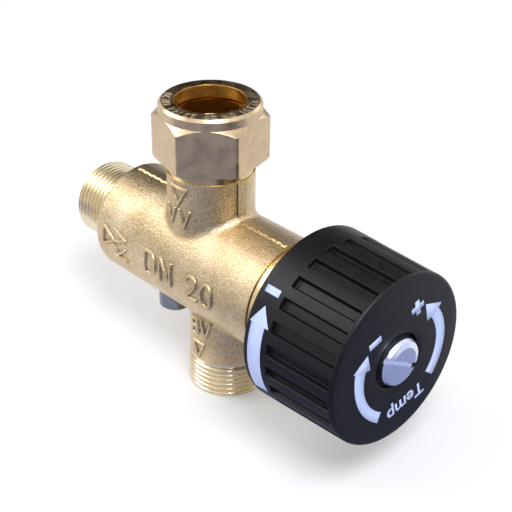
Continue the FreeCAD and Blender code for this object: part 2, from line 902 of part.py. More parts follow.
def bonnet_ring_station():
    """Middle of the O-ring groove in the bonnet's nose."""
    return bonnet_nose_end + bonnet_nose_length / 2


def make_bonnet():
    nose = mixing_radius - drop_in_gap
    screwed = bonnet_thread_radius - thread_gap
    outside = turned([
        (bonnet_nose_end, 0),
        (bonnet_nose_end, nose),
        (bonnet_thread_start, nose),
        (bonnet_thread_start, screwed),
        (collar_end, screwed),
        (collar_end, bonnet_neck_radius),
        (bonnet_end - bonnet_hex_chamfer, bonnet_neck_radius),
        (bonnet_end, bonnet_neck_radius - bonnet_hex_chamfer),
        (bonnet_end, 0),
    ])
    corner = bonnet_hex_flats / 2 / math.cos(math.radians(30))
    hexagon = hexagon_along(collar_end, bonnet_hex_end, bonnet_hex_flats)
    rounding = turned([
        (collar_end, 0),
        (collar_end, corner),
        (bonnet_hex_end - bonnet_hex_chamfer, corner),
        (bonnet_hex_end, corner - 2 * bonnet_hex_chamfer),
        (bonnet_hex_end, 0),
    ])
    stop = Part.makeBox(stop_length, stop_width, stop_height + bonnet_neck_radius / 2,
                        AXIS + FreeCAD.Vector(bonnet_hex_end, -stop_width / 2, bonnet_neck_radius / 2))
    inside = turned([
        (bonnet_nose_end, 0),
        (bonnet_nose_end, cup_bore_radius),
        (cup_bore_end, cup_bore_radius),
        (cup_bore_end, spindle_thread_radius + running_gap),
        (thread_bore_end, spindle_thread_radius + running_gap),
        (thread_bore_end, spindle_journal_radius + running_gap),
        (bonnet_end, spindle_journal_radius + running_gap),
        (bonnet_end, 0),
    ])
    half = ring_cord / 2 + groove_side_gap / 2
    middle = bonnet_ring_station()
    groove = pipe(middle - half, middle + half, mixing_radius, mixing_radius - ring_cord)
    return outside.fuse([hexagon.common(rounding), stop]).removeSplitter().cut(inside).cut(groove)


def make_bonnet_o_ring():
    return torus(bonnet_ring_station(), mixing_radius - ring_cord, ring_cord)


def spindle_ring_stations():
    """Middles of the spindle's two O-ring grooves, spread evenly along the journal's bore."""
    room = bonnet_end - thread_bore_end
    return thread_bore_end + inner_ring_share * room, thread_bore_end + outer_ring_share * room


def make_spindle():
    """Spindle screwed through the bonnet, with a flatted drive end for the knob."""
    blank = turned([
        (cup_end, 0),
        (cup_end, spindle_tip_radius),
        (spindle_thread_start, spindle_tip_radius),
        (spindle_thread_start, spindle_thread_radius),
        (spindle_thread_end, spindle_thread_radius),
        (spindle_thread_end, spindle_journal_radius),
        (drive_start, spindle_journal_radius),
        (drive_start, 0),
    ])
    drive = bar(drive_start, drive_end, spindle_drive_radius).common(drive_block(spindle_drive_flats))
    blank = blank.fuse(drive)
    half = small_ring_cord / 2 + groove_side_gap / 2
    floor = spindle_journal_radius + running_gap - seal_gap - small_ring_cord
    for middle in spindle_ring_stations():
        blank = blank.cut(pipe(middle - half, middle + half, spindle_journal_radius + 1, floor))
    return blank.cut(bar(drive_end - screw_hole_depth, drive_end, screw_thread_radius + thread_gap))


def drive_block(flats):
    """A slab as thick as the drive's flats."""
    return Part.makeBox(recess_floor - drive_start, flats, 4 * spindle_drive_radius,
                        AXIS + FreeCAD.Vector(drive_start, -flats / 2, -2 * spindle_drive_radius))


def spindle_o_ring(station):
    return torus(station, spindle_journal_radius + running_gap - seal_gap - small_ring_cord, small_ring_cord)


def make_inner_spindle_o_ring():
    return spindle_o_ring(spindle_ring_stations()[0])


def make_outer_spindle_o_ring():
    return spindle_o_ring(spindle_ring_stations()[1])


# ---- Knob and screw ------------------------------------------------------------------------------


def knob_radius(station):
    """Outer radius of the knob, which tapers towards the front."""
    share = (station - knob_rear) / knob_length
    return knob_rear_radius + (knob_front_radius - knob_rear_radius) * share


def knob_groove():
    """Cutter for one flat-floored grip groove, closed at both ends."""
    start = knob_rear + groove_start
    end = start + groove_length
    low = knob_radius(start) - groove_depth
    reach = knob_rear_radius + 2
    points = [
        (start, low),
        (end, knob_radius(end) - groove_depth),
        (end, reach),
        (start, reach),
        (start, low),
    ]
    vectors = [AXIS + FreeCAD.Vector(station, -groove_width / 2, radius) for station, radius in points]
    cutter = Part.Face(Part.makePolygon(vectors)).extrude(FreeCAD.Vector(0, groove_width, 0))
    upright = [edge for edge in cutter.Edges if is_upright(edge)]
    return cutter.makeFillet(groove_corner, upright)


def is_upright(edge):
    """True for a groove cutter's four edges that run in and out of the knob."""
    box = edge.BoundBox
    return box.ZLength > 1 and box.XLength < 0.01


def make_temperature_knob():
    """Moulded cap with grip grooves, a hub with a flatted hole and a rib that meets the bonnet's stop."""
    skirt_bore = knob_front_radius - groove_depth - knob_wall
    outside = turned([
        (knob_rear, 0),
        (knob_rear, knob_rear_radius - knob_rear_edge),
        (knob_rear + knob_rear_edge, knob_rear_radius),
        (knob_front - knob_front_edge, knob_radius(knob_front - knob_front_edge)),
        (knob_front - knob_front_edge * 0.3, knob_front_radius - knob_front_edge * 0.3),
        (knob_front, knob_front_radius - knob_front_edge),
        (knob_front, 0),
    ])
    hollow = turned([
        (knob_rear, 0),
        (knob_rear, skirt_bore),
        (knob_front - knob_front_wall, skirt_bore),
        (knob_front - knob_front_wall, knob_hub_radius),
        (drive_start, knob_hub_radius),
        (drive_start, 0),
    ])
    knob = outside.cut(hollow)
    rib_inner = bonnet_neck_radius + rib_clearance
    rib = block(bonnet_hex_end + adjusting_room, knob_front - knob_front_wall, stop_width,
                barrel_height - skirt_bore - knob_wall / 2, barrel_height - rib_inner)
    knob = knob.fuse(rib)
    pitch = 360 / groove_count
    for step in range(groove_count):
        knob = knob.cut(turn_about_axis(knob_groove(), groove_turn + pitch * step))
    bore = spindle_drive_radius + drop_in_gap
    socket = bar(drive_start, recess_floor, bore)
    socket = socket.common(drive_block(spindle_drive_flats + 2 * drop_in_gap))
    clearance_hole = bar(drive_start, recess_floor, screw_thread_radius + drop_in_gap)
    return knob.cut(socket).cut(clearance_hole).cut(bar(recess_floor, knob_front, recess_radius))


def make_knob_screw():
    """Slotted pan-head screw on the knob's axis."""
    top = recess_floor + screw_head_height
    screw = turned([
        (recess_floor - screw_length, 0),
        (recess_floor - screw_length, screw_thread_radius),
        (recess_floor, screw_thread_radius),
        (recess_floor, screw_head_radius),
        (top - screw_head_edge, screw_head_radius),
        (top - screw_head_edge * 0.4, screw_head_radius - screw_head_edge * 0.35),
        (top, screw_head_radius - screw_head_edge * 1.4),
        (top, 0),
    ])
    slot = Part.makeBox(screw_slot_depth, screw_slot_width, 4 * screw_head_radius,
                        AXIS + FreeCAD.Vector(top - screw_slot_depth, -screw_slot_width / 2,
                                              -2 * screw_head_radius))
    return screw.cut(turn_about_axis(slot, screw_slot_turn))


NODES = {
    "valve_body": make_valve_body,
    "compression_nut": make_compression_nut,
    "compression_olive": make_compression_olive,
    "test_plug": make_test_plug,
    "test_plug_gasket": make_test_plug_gasket,
    "check_valve_housing": make_check_valve_housing,
    "check_valve_o_ring": make_check_valve_o_ring,
    "check_valve_guide": make_check_valve_guide,
    "check_valve_poppet": make_check_valve_poppet,
    "check_valve_seal": make_check_valve_seal,
    "check_valve_spring": make_check_valve_spring,
    "check_valve_clip": make_check_valve_clip,
    "cold_seat_bush": make_cold_seat_bush,
    "cold_seat_o_ring": make_cold_seat_o_ring,
    "shuttle_o_ring": make_shuttle_o_ring,
    "hot_seat_ring": make_hot_seat_ring,
    "valve_shuttle": make_valve_shuttle,
    "cold_valve_washer": make_cold_valve_washer,
    "cold_valve_disc": make_cold_valve_disc,
    "cold_valve_nut": make_cold_valve_nut,
    "return_spring": make_return_spring,
    "wax_element": make_wax_element,
    "element_piston": make_element_piston,
    "overtravel_cup": make_overtravel_cup,
    "overtravel_plunger": make_overtravel_plunger,
    "overtravel_spring": make_overtravel_spring,
    "overtravel_clip": make_overtravel_clip,
    "bonnet": make_bonnet,
    "bonnet_o_ring": make_bonnet_o_ring,
    "spindle": make_spindle,
    "inner_spindle_o_ring": make_inner_spindle_o_ring,
    "outer_spindle_o_ring": make_outer_spindle_o_ring,
    "temperature_knob": make_temperature_knob,
    "knob_screw": make_knob_screw,
}


def main():
    os.makedirs("parts", exist_ok=True)
    for name, make in NODES.items():
        shape = make()
        solids = len(shape.Solids)
        print(name, shape.isValid(), solids, round(shape.Volume, 1))
        shape.exportStep("parts/" + name + ".step")


main()
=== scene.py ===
import json
import math

import bmesh
import bpy
import numpy as np
from mathutils import Matrix, Vector
from mathutils.bvhtree import BVHTree


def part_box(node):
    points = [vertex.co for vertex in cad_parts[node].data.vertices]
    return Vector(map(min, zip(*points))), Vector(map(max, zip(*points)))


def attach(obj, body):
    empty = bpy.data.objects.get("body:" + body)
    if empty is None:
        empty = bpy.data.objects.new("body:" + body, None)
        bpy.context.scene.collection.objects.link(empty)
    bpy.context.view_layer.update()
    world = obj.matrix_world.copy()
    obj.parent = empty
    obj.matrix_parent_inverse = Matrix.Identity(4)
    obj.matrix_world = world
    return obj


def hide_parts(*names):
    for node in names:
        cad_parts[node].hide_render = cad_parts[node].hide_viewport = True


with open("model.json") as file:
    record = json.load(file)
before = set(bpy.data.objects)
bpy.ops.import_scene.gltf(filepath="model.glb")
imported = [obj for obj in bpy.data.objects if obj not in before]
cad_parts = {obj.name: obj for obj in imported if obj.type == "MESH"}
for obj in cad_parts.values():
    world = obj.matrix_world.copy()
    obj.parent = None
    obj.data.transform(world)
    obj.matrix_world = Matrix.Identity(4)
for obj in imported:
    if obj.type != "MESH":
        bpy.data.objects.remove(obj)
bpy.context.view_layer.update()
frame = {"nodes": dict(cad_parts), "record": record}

bl_info = {
    "name": "Thermostatic mixing valve",
    "version": (1, 0, 0),
    "blender": (4, 5, 0),
    "location": "3D View > Sidebar > Mixing Valve",
    "description": "Dresses a thermostatic mixing valve: forged body, threads, nut, knob and their finishes",
    "category": "Object",
}

MM = 0.001
MOUNTS = {mount["name"]: mount for mount in frame["record"]["mounts"]}
AXIS_Z = MOUNTS["cold_inlet"]["pos_m"][2] / MM          # height of the barrel's axis
HOT_X = MOUNTS["hot_inlet"]["pos_m"][0] / MM            # station of the hot inlet's axis
THREAD_R = MOUNTS["mixed_outlet"]["dims"]["r_mm"]       # crest of the male threads
BODY_LOW, BODY_HIGH = (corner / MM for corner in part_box("valve_body"))
KNOB_LOW, KNOB_HIGH = (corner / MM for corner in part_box("temperature_knob"))
NUT_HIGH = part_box("compression_nut")[1] / MM
KNOB_R = (KNOB_HIGH.z - KNOB_LOW.z) / 2                 # the knob's skirt at its rear

# sizes of the solids that the pieces are fitted to, in millimetres
ROOT_R = THREAD_R - 1.22                                # root of the male threads
BARREL_R = 19.0                                         # the forged barrel
NECK_R = 14.0                                           # the two upright necks
BARREL_START = BODY_LOW.x + 18.0                        # where the turned cold inlet meets the barrel
OUTLET_THREAD_TOP = 12.6                                # height of the outlet's threaded length
FRONT_TAPER = 1.04                                      # how much less the skirt's radius is at the front


def linear(hex_colour):
    """An sRGB hex colour as the linear RGBA that Blender's colour sockets take."""
    channels = [int(hex_colour[i:i + 2], 16) / 255 for i in (1, 3, 5)]
    return tuple(c / 12.92 if c <= 0.04045 else ((c + 0.055) / 1.055) ** 2.4 for c in channels) + (1.0,)


# ---- Sizes and colours that a user would change -----------------------------------------------------

class ForgingSettings(bpy.types.PropertyGroup):
    mark_height: bpy.props.FloatProperty(
        name="Mark height", description="How far the forged letters and arrows stand out",
        default=0.0006, min=0.0001, max=0.001, precision=5, unit="LENGTH")
    mark_stroke: bpy.props.FloatProperty(
        name="Mark stroke", description="Width of the strokes of the forged letters and arrows",
        default=0.00115, min=0.0004, max=0.002, precision=5, unit="LENGTH")
    forged_colour: bpy.props.FloatVectorProperty(
        name="Forged brass", description="Colour of the blasted brass skin",
        default=linear("#CDB690"), size=4, min=0, max=1, subtype="COLOR")
    turned_colour: bpy.props.FloatVectorProperty(
        name="Turned brass", description="Colour of the machined brass",
        default=linear("#E0CDA2"), size=4, min=0, max=1, subtype="COLOR")


class ThreadSettings(bpy.types.PropertyGroup):
    pitch: bpy.props.FloatProperty(
        name="Pitch", description="Distance from one thread crest to the next",
        default=0.001814, min=0.001, max=0.003, precision=6, unit="LENGTH")
    run_out: bpy.props.FloatProperty(
        name="Run-out", description="Length over which the outlet's thread fades into its neck",
        default=0.0016, min=0.0005, max=0.004, precision=5, unit="LENGTH")


class KnobSettings(bpy.types.PropertyGroup):
    groove_depth: bpy.props.FloatProperty(
        name="Groove depth", description="Depth of the grip grooves",
        default=0.0017, min=0.0005, max=0.0025, precision=5, unit="LENGTH")
    groove_wall: bpy.props.FloatProperty(
        name="Groove wall", description="Width over which a groove's side runs down to its floor",
        default=0.00055, min=0.0002, max=0.0012, precision=5, unit="LENGTH")
    plastic_colour: bpy.props.FloatVectorProperty(
        name="Plastic", description="Colour of the moulded knob",
        default=linear("#0A0A0F"), size=4, min=0, max=1, subtype="COLOR")
    ink_colour: bpy.props.FloatVectorProperty(
        name="Ink", description="Colour of the printed arrows and letters",
        default=linear("#BFCEFA"), size=4, min=0, max=1, subtype="COLOR")


class StageSettings(bpy.types.PropertyGroup):
    floor_colour: bpy.props.FloatVectorProperty(
        name="Floor", description="Colour of the plain floor",
        default=linear("#DADADA"), size=4, min=0, max=1, subtype="COLOR")
    key_power: bpy.props.FloatProperty(
        name="Key light", description="Power of the large soft light above and to the left",
        default=2.3, min=0, unit="POWER")
    front_power: bpy.props.FloatProperty(
        name="Front light", description="Power of the soft light above the knob",
        default=4.0, min=0, unit="POWER")
    rim_power: bpy.props.FloatProperty(
        name="Rim light", description="Power of the light behind the valve",
        default=0.8, min=0, unit="POWER")


class ValveSettings(bpy.types.PropertyGroup):
    forging: bpy.props.PointerProperty(
        name="Forging", description="The brass body and its forged marks", type=ForgingSettings)
    threads: bpy.props.PointerProperty(
        name="Threads", description="The male threads of the two water connections", type=ThreadSettings)
    knob: bpy.props.PointerProperty(
        name="Knob", description="The temperature knob and its printing", type=KnobSettings)
    stage: bpy.props.PointerProperty(
        name="Stage", description="The floor and the lights", type=StageSettings)


# ---- Materials --------------------------------------------------------------------------------------

def node(tree, kind, inputs=None, **settings):
    """Adds a shader node. inputs maps a socket's name or number to a value or to another node's output."""
    made = tree.nodes.new(kind)
    for name, value in settings.items():
        setattr(made, name, value)
    for key, value in (inputs or {}).items():
        if isinstance(value, bpy.types.NodeSocket):
            tree.links.new(value, made.inputs[key])
        else:
            made.inputs[key].default_value = value
    return made


def finish(name):
    """An empty material: itself, its tree, its surface shader and places in metres in the valve's frame."""
    material = bpy.data.materials.new(name)
    material.use_nodes = True
    tree = material.node_tree
    tree.nodes.clear()
    shader = node(tree, "ShaderNodeBsdfPrincipled")
    node(tree, "ShaderNodeOutputMaterial", {"Surface": shader.outputs[0]})
    place = node(tree, "ShaderNodeTexCoord").outputs["Object"]
    return material, tree, shader, place


def per_metre(size_mm):
    """The scale of a pattern whose features are size_mm apart."""
    return 1000.0 / size_mm


def blasted_forged_brass(settings):
    """Hot-stamped brass after shot blasting: a satin, pale gold skin of fine craters, faintly cloudy."""
    material, tree, shader, place = finish("blasted_forged_brass")
    cloud = node(tree, "ShaderNodeTexNoise", {"Vector": place, "Scale": per_metre(12.0), "Detail": 2.0})
    speck = node(tree, "ShaderNodeTexNoise", {"Vector": place, "Scale": per_metre(0.55), "Detail": 4.0,
                                              "Roughness": 0.65})
    # shot craters are about 0.1 mm across; 0.6 mm is the finest that shows
    grain = node(tree, "ShaderNodeTexNoise", {"Vector": place, "Scale": per_metre(0.6), "Detail": 3.0,
                                              "Roughness": 0.6})
    swell = node(tree, "ShaderNodeTexNoise", {"Vector": place, "Scale": per_metre(4.0), "Detail": 2.0})
    mixed = node(tree, "ShaderNodeMix", {"Factor": 0.7, "A": cloud.outputs[0], "B": speck.outputs[0]})
    tone = node(tree, "ShaderNodeValToRGB", {0: mixed.outputs["Result"]})
    tone.color_ramp.elements[0].position = 0.34
    tone.color_ramp.elements[0].color = linear("#A08B68")
    tone.color_ramp.elements[1].position = 0.66
    tone.color_ramp.elements[1].color = linear("#E6D8BC")
    middle = tone.color_ramp.elements.new(0.5)
    middle.color = tuple(settings.forging.forged_colour)
    # painted shade: ambient occlusion darkens creases, fillets and the feet of the raised marks towards dark
    # brown
    hollow = node(tree, "ShaderNodeAmbientOcclusion", {"Distance": 0.0014}, samples=6)
    shade = node(tree, "ShaderNodeMapRange", {"Value": hollow.outputs["AO"], "From Min": 0.4,
                                              "From Max": 0.95, "To Min": 1.0, "To Max": 0.0})
    painted_crevice_shade = node(tree, "ShaderNodeMix", {"Factor": shade.outputs[0], "A": tone.outputs[0],
                                        "B": linear("#4A3820")}, data_type="RGBA")
    tree.links.new(painted_crevice_shade.outputs["Result"], shader.inputs["Base Color"])
    rough = node(tree, "ShaderNodeMapRange", {"Value": speck.outputs[0], "From Min": 0.35, "From Max": 0.65,
                                              "To Min": 0.27, "To Max": 0.4})
    tree.links.new(rough.outputs[0], shader.inputs["Roughness"])
    wave = node(tree, "ShaderNodeBump", {"Height": swell.outputs[0], "Strength": 0.25, "Distance": 0.00025})
    craters = node(tree, "ShaderNodeBump", {"Height": grain.outputs[0], "Strength": 1.0, "Distance": 0.00025,
                                            "Normal": wave.outputs[0]})
    tree.links.new(craters.outputs[0], shader.inputs["Normal"])
    shader.inputs["Metallic"].default_value = 1.0
    return material


def turned_brass(settings, name, stretch, rough=0.25, paleness=0.0):
    """Brass off the lathe: bright yellow with fine tool rings. stretch is high along the turning axis."""
    material, tree, shader, place = finish(name)
    along = node(tree, "ShaderNodeVectorMath", {0: place, 1: stretch}, operation="MULTIPLY")
    rings = node(tree, "ShaderNodeTexNoise", {"Vector": along.outputs[0], "Scale": 1.0, "Detail": 3.0,
                                              "Roughness": 0.7})
    stain = node(tree, "ShaderNodeTexNoise", {"Vector": place, "Scale": per_metre(5.0), "Detail": 3.0})
    turned = tuple(settings.forging.turned_colour)
    tone = node(tree, "ShaderNodeMix", {"Factor": stain.outputs[0], "A": turned, "B": linear("#CDB382")},
                data_type="RGBA")
    # thread rollers leave a paler, burnished skin
    pale = node(tree, "ShaderNodeMix", {"Factor": paleness, "A": tone.outputs["Result"],
                                        "B": linear("#EDE4CF")}, data_type="RGBA")
    tree.links.new(pale.outputs["Result"], shader.inputs["Base Color"])
    sheen = node(tree, "ShaderNodeMapRange", {"Value": rings.outputs[0], "From Min": 0.3, "From Max": 0.7,
                                              "To Min": rough * 0.75, "To Max": rough * 1.3})
    tree.links.new(sheen.outputs[0], shader.inputs["Roughness"])
    # tool rings are 0.1 to 0.2 mm apart
    bump = node(tree, "ShaderNodeBump", {"Height": rings.outputs[0], "Strength": 0.3, "Distance": 0.00003})
    tree.links.new(bump.outputs[0], shader.inputs["Normal"])
    shader.inputs["Metallic"].default_value = 1.0
    return material


def machined_nut_brass(settings):
    """Drawn hexagon brass, lightly tumbled: champagne flats with soft edges and small dents."""
    material, tree, shader, place = finish("tumbled_hexagon_brass")
    cloud = node(tree, "ShaderNodeTexNoise", {"Vector": place, "Scale": per_metre(3.5), "Detail": 4.0,
                                              "Roughness": 0.6})
    speck = node(tree, "ShaderNodeTexNoise", {"Vector": place, "Scale": per_metre(0.6), "Detail": 3.0})
    tone = node(tree, "ShaderNodeValToRGB", {0: cloud.outputs[0]})
    tone.color_ramp.elements[0].position = 0.35
    tone.color_ramp.elements[0].color = linear("#BDA588")
    tone.color_ramp.elements[1].position = 0.62
    tone.color_ramp.elements[1].color = linear("#CFB896")
    # painted shade: ambient occlusion darkens the nut's corners and the feet of its raised letters
    hollow = node(tree, "ShaderNodeAmbientOcclusion", {"Distance": 0.0012}, samples=6)
    shade = node(tree, "ShaderNodeMapRange", {"Value": hollow.outputs["AO"], "From Min": 0.35,
                                              "From Max": 0.8, "To Min": 0.8, "To Max": 0.0})
    painted_crevice_shade = node(tree, "ShaderNodeMix", {"Factor": shade.outputs[0], "A": tone.outputs[0],
                                        "B": linear("#5A4632")}, data_type="RGBA")
    # the bore is painted a brighter gold: partly its reamed skin, which was never tumbled, and partly painted
    # light for the brass reflecting into itself
    from_axis = node(tree, "ShaderNodeVectorMath", {0: place, 1: (-HOT_X * MM, 0.0, 0.0)}, operation="ADD")
    flat = node(tree, "ShaderNodeVectorMath", {0: from_axis.outputs[0], 1: (1.0, 1.0, 0.0)},
                operation="MULTIPLY")
    radius = node(tree, "ShaderNodeVectorMath", {0: flat.outputs[0]}, operation="LENGTH")
    bore_radius = 0.0114
    inside = node(tree, "ShaderNodeMath", {0: radius.outputs["Value"], 1: bore_radius}, operation="LESS_THAN")
    skin = node(tree, "ShaderNodeMix", {"Factor": inside.outputs[0], "A": painted_crevice_shade.outputs["Result"],
                                        "B": linear("#F0BE66")}, data_type="RGBA")
    tree.links.new(skin.outputs["Result"], shader.inputs["Base Color"])
    rough = node(tree, "ShaderNodeMapRange", {"Value": cloud.outputs[0], "From Min": 0.35, "From Max": 0.65,
                                              "To Min": 0.26, "To Max": 0.4})
    tree.links.new(rough.outputs[0], shader.inputs["Roughness"])
    soft = node(tree, "ShaderNodeBevel", {"Radius": 0.0003}, samples=6)
    dents = node(tree, "ShaderNodeBump", {"Height": speck.outputs[0], "Strength": 0.3, "Distance": 0.00005,
                                          "Normal": soft.outputs[0]})
    tree.links.new(dents.outputs[0], shader.inputs["Normal"])
    shader.inputs["Metallic"].default_value = 1.0
    return material


def moulded_black_plastic(settings):
    """Injection-moulded black ABS: satin, with a fine spark texture and slightly lighter rubbed places."""
    material, tree, shader, place = finish("moulded_black_abs")
    spark = node(tree, "ShaderNodeTexNoise", {"Vector": place, "Scale": per_metre(0.35), "Detail": 2.0})
    dust = node(tree, "ShaderNodeTexNoise", {"Vector": place, "Scale": per_metre(6.0), "Detail": 5.0,
                                             "Roughness": 0.7})
    rubbed = node(tree, "ShaderNodeMapRange", {"Value": dust.outputs[0], "From Min": 0.45, "From Max": 0.75,
                                               "To Min": 0.0, "To Max": 0.5})
    plastic = tuple(settings.knob.plastic_colour)
    tone = node(tree, "ShaderNodeMix", {"Factor": rubbed.outputs[0], "A": plastic, "B": linear("#111115")},
                data_type="RGBA")
    tree.links.new(tone.outputs["Result"], shader.inputs["Base Color"])
    rough = node(tree, "ShaderNodeMapRange", {"Value": dust.outputs[0], "From Min": 0.3, "From Max": 0.7,
                                              "To Min": 0.36, "To Max": 0.5})
    tree.links.new(rough.outputs[0], shader.inputs["Roughness"])
    bump = node(tree, "ShaderNodeBump", {"Height": spark.outputs[0], "Strength": 0.25, "Distance": 0.00004})
    tree.links.new(bump.outputs[0], shader.inputs["Normal"])
    shader.inputs["Specular IOR Level"].default_value = 0.27
    return material


def pad_printed_ink(settings):
    """Pad-printed pale ink: matt, a little thin where the plastic's texture shows through."""
    material, tree, shader, place = finish("pad_printed_ink")
    thin = node(tree, "ShaderNodeTexNoise", {"Vector": place, "Scale": per_metre(0.5), "Detail": 3.0})
    worn = node(tree, "ShaderNodeMapRange", {"Value": thin.outputs[0], "From Min": 0.5, "From Max": 0.8,
                                             "To Min": 0.0, "To Max": 0.25})
    tone = node(tree, "ShaderNodeMix", {"Factor": worn.outputs[0], "A": tuple(settings.knob.ink_colour),
                                        "B": linear("#8E97BE")}, data_type="RGBA")
    tree.links.new(tone.outputs["Result"], shader.inputs["Base Color"])
    shader.inputs["Roughness"].default_value = 0.6
    return material


def plain_metal(name, light, dark, rough, patch_mm):
    """A small metal piece: two tones in patches patch_mm apart, and a faint grain."""
    material, tree, shader, place = finish(name)
    patch = node(tree, "ShaderNodeTexNoise", {"Vector": place, "Scale": per_metre(patch_mm), "Detail": 4.0})
    tone = node(tree, "ShaderNodeMix", {"Factor": patch.outputs[0], "A": linear(light), "B": linear(dark)},
                data_type="RGBA")
    tree.links.new(tone.outputs["Result"], shader.inputs["Base Color"])
    spread = node(tree, "ShaderNodeMapRange", {"Value": patch.outputs[0], "To Min": rough * 0.7,
                                               "To Max": rough * 1.3})
    tree.links.new(spread.outputs[0], shader.inputs["Roughness"])
    grain = node(tree, "ShaderNodeTexNoise", {"Vector": place, "Scale": per_metre(0.4), "Detail": 2.0})
    bump = node(tree, "ShaderNodeBump", {"Height": grain.outputs[0], "Strength": 0.2, "Distance": 0.00003})
    tree.links.new(bump.outputs[0], shader.inputs["Normal"])
    shader.inputs["Metallic"].default_value = 1.0
    return material


def soft_or_plastic(name, light, dark, rough, grain_mm):
    """A rubber, fibre or acetal piece: matt, two close tones and a grain of grain_mm."""
    material, tree, shader, place = finish(name)
    grain = node(tree, "ShaderNodeTexNoise", {"Vector": place, "Scale": per_metre(grain_mm), "Detail": 4.0})
    tone = node(tree, "ShaderNodeMix", {"Factor": grain.outputs[0], "A": linear(light), "B": linear(dark)},
                data_type="RGBA")
    tree.links.new(tone.outputs["Result"], shader.inputs["Base Color"])
    bump = node(tree, "ShaderNodeBump", {"Height": grain.outputs[0], "Strength": 0.3, "Distance": 0.00004})
    tree.links.new(bump.outputs[0], shader.inputs["Normal"])
    shader.inputs["Roughness"].default_value = rough
    return material


FINISHES = {}


def mix_finishes(settings):
    """Makes every finish once, so that the pieces share them."""
    rings, around = per_metre(0.16), 60
    along_x, along_z = (rings, around, around), (around, around, rings)
    burnish = {"rough": 0.2, "paleness": 0.65}
    FINISHES.update({
        "forged": blasted_forged_brass(settings),
        "turned_x": turned_brass(settings, "turned_brass_along_barrel", along_x),
        "turned_z": turned_brass(settings, "turned_brass_upright", along_z),
        "thread_x": turned_brass(settings, "rolled_thread_along_barrel", along_x, **burnish),
        "thread_z": turned_brass(settings, "rolled_thread_upright", along_z, **burnish),
        "nut": machined_nut_brass(settings),
        "plastic": moulded_black_plastic(settings),
        "ink": pad_printed_ink(settings),
        "zinc": plain_metal("bright_zinc_plated_steel", "#E4EBFF", "#D3DDF6", 0.3, 3.0),
        "nickel": plain_metal("nickel_plated_brass", "#7E8592", "#595F69", 0.18, 2.0),
        "spring": plain_metal("drawn_stainless_wire", "#C9C9C6", "#A3A39F", 0.28, 0.8),
        "copper": plain_metal("deep_drawn_copper", "#D48A62", "#B4653F", 0.3, 2.5),
        "olive": plain_metal("turned_olive_brass", "#F2BE5C", "#D8963A", 0.2, 1.5),
        "rubber": soft_or_plastic("moulded_epdm_rubber", "#1B1C1B", "#262726", 0.62, 0.4),
        "fibre": soft_or_plastic("pressed_fibre_gasket", "#1F3A34", "#0F231F", 0.7, 0.3),
        "acetal": soft_or_plastic("moulded_white_acetal", "#E9E7E0", "#DAD8D0", 0.38, 0.9),
    })


# ---- Shapes -----------------------------------------------------------------------------------------

def add_piece(name, points, faces, body, finish_name):
    """A smooth-shaded mesh from points in millimetres in the valve's frame, riding on a body."""
    mesh = bpy.data.meshes.new(name)
    mesh.from_pydata((np.asarray(points, float) * MM).tolist(), [], faces)
    mesh.materials.append(FINISHES[finish_name])
    mesh.polygons.foreach_set("use_smooth", [True] * len(mesh.polygons))
    mesh.update()
    made = bpy.data.objects.new(name, mesh)
    bpy.context.scene.collection.objects.link(made)
    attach(made, body)
    return made


def grid_faces(rows, columns, close_rows=False, close_columns=False):
    """Quads over a grid of points that is stored row by row."""
    last_row = rows if close_rows else rows - 1
    last_column = columns if close_columns else columns - 1
    faces = []
    for i in range(last_row):
        upper = (i + 1) % rows
        for j in range(last_column):
            right = (j + 1) % columns
            low_row, high_row = i * columns, upper * columns
            faces.append((low_row + j, low_row + right, high_row + right, high_row + j))
    return faces


def outward(made):
    """Turns a closed piece's faces outwards."""
    shape = bmesh.new()
    shape.from_mesh(made.data)
    bmesh.ops.recalc_face_normals(shape, faces=shape.faces)
    shape.to_mesh(made.data)
    shape.free()


def smooth_step(share):
    """0 to 1, with a soft start and end."""
    share = np.clip(share, 0, 1)
    return share * share * (3 - 2 * share)


def about_barrel(station, radius, turn):
    """Points around the barrel's axis. turn is in radians from +Z towards -Y."""
    station, radius, turn = np.broadcast_arrays(station, radius, turn)
    return np.stack([station, -radius * np.sin(turn), AXIS_Z + radius * np.cos(turn)], -1)


def thread_height(offset, pitch):
    """A Whitworth thread's surface above its middle line, at an offset along the axis from a crest."""
    # a 55 degree thread: the sharp triangle, and its crests and roots rounded off to 0.64 of the pitch
    half_angle = math.radians(27.5)
    sharp = 0.9605 * pitch / 2
    crest = 0.32 * pitch
    curve = 0.1373 * pitch
    nearest = np.abs((offset + pitch / 2) % pitch - pitch / 2)
    reach = curve * math.cos(half_angle)
    flank = sharp - nearest / math.tan(half_angle)
    top = crest - curve + np.sqrt(np.clip(curve ** 2 - nearest ** 2, 0, None))
    low = pitch / 2 - nearest
    bottom = -(crest - curve + np.sqrt(np.clip(curve ** 2 - low ** 2, 0, None)))
    return np.where(nearest < reach, top, np.where(low < reach, bottom, flank))


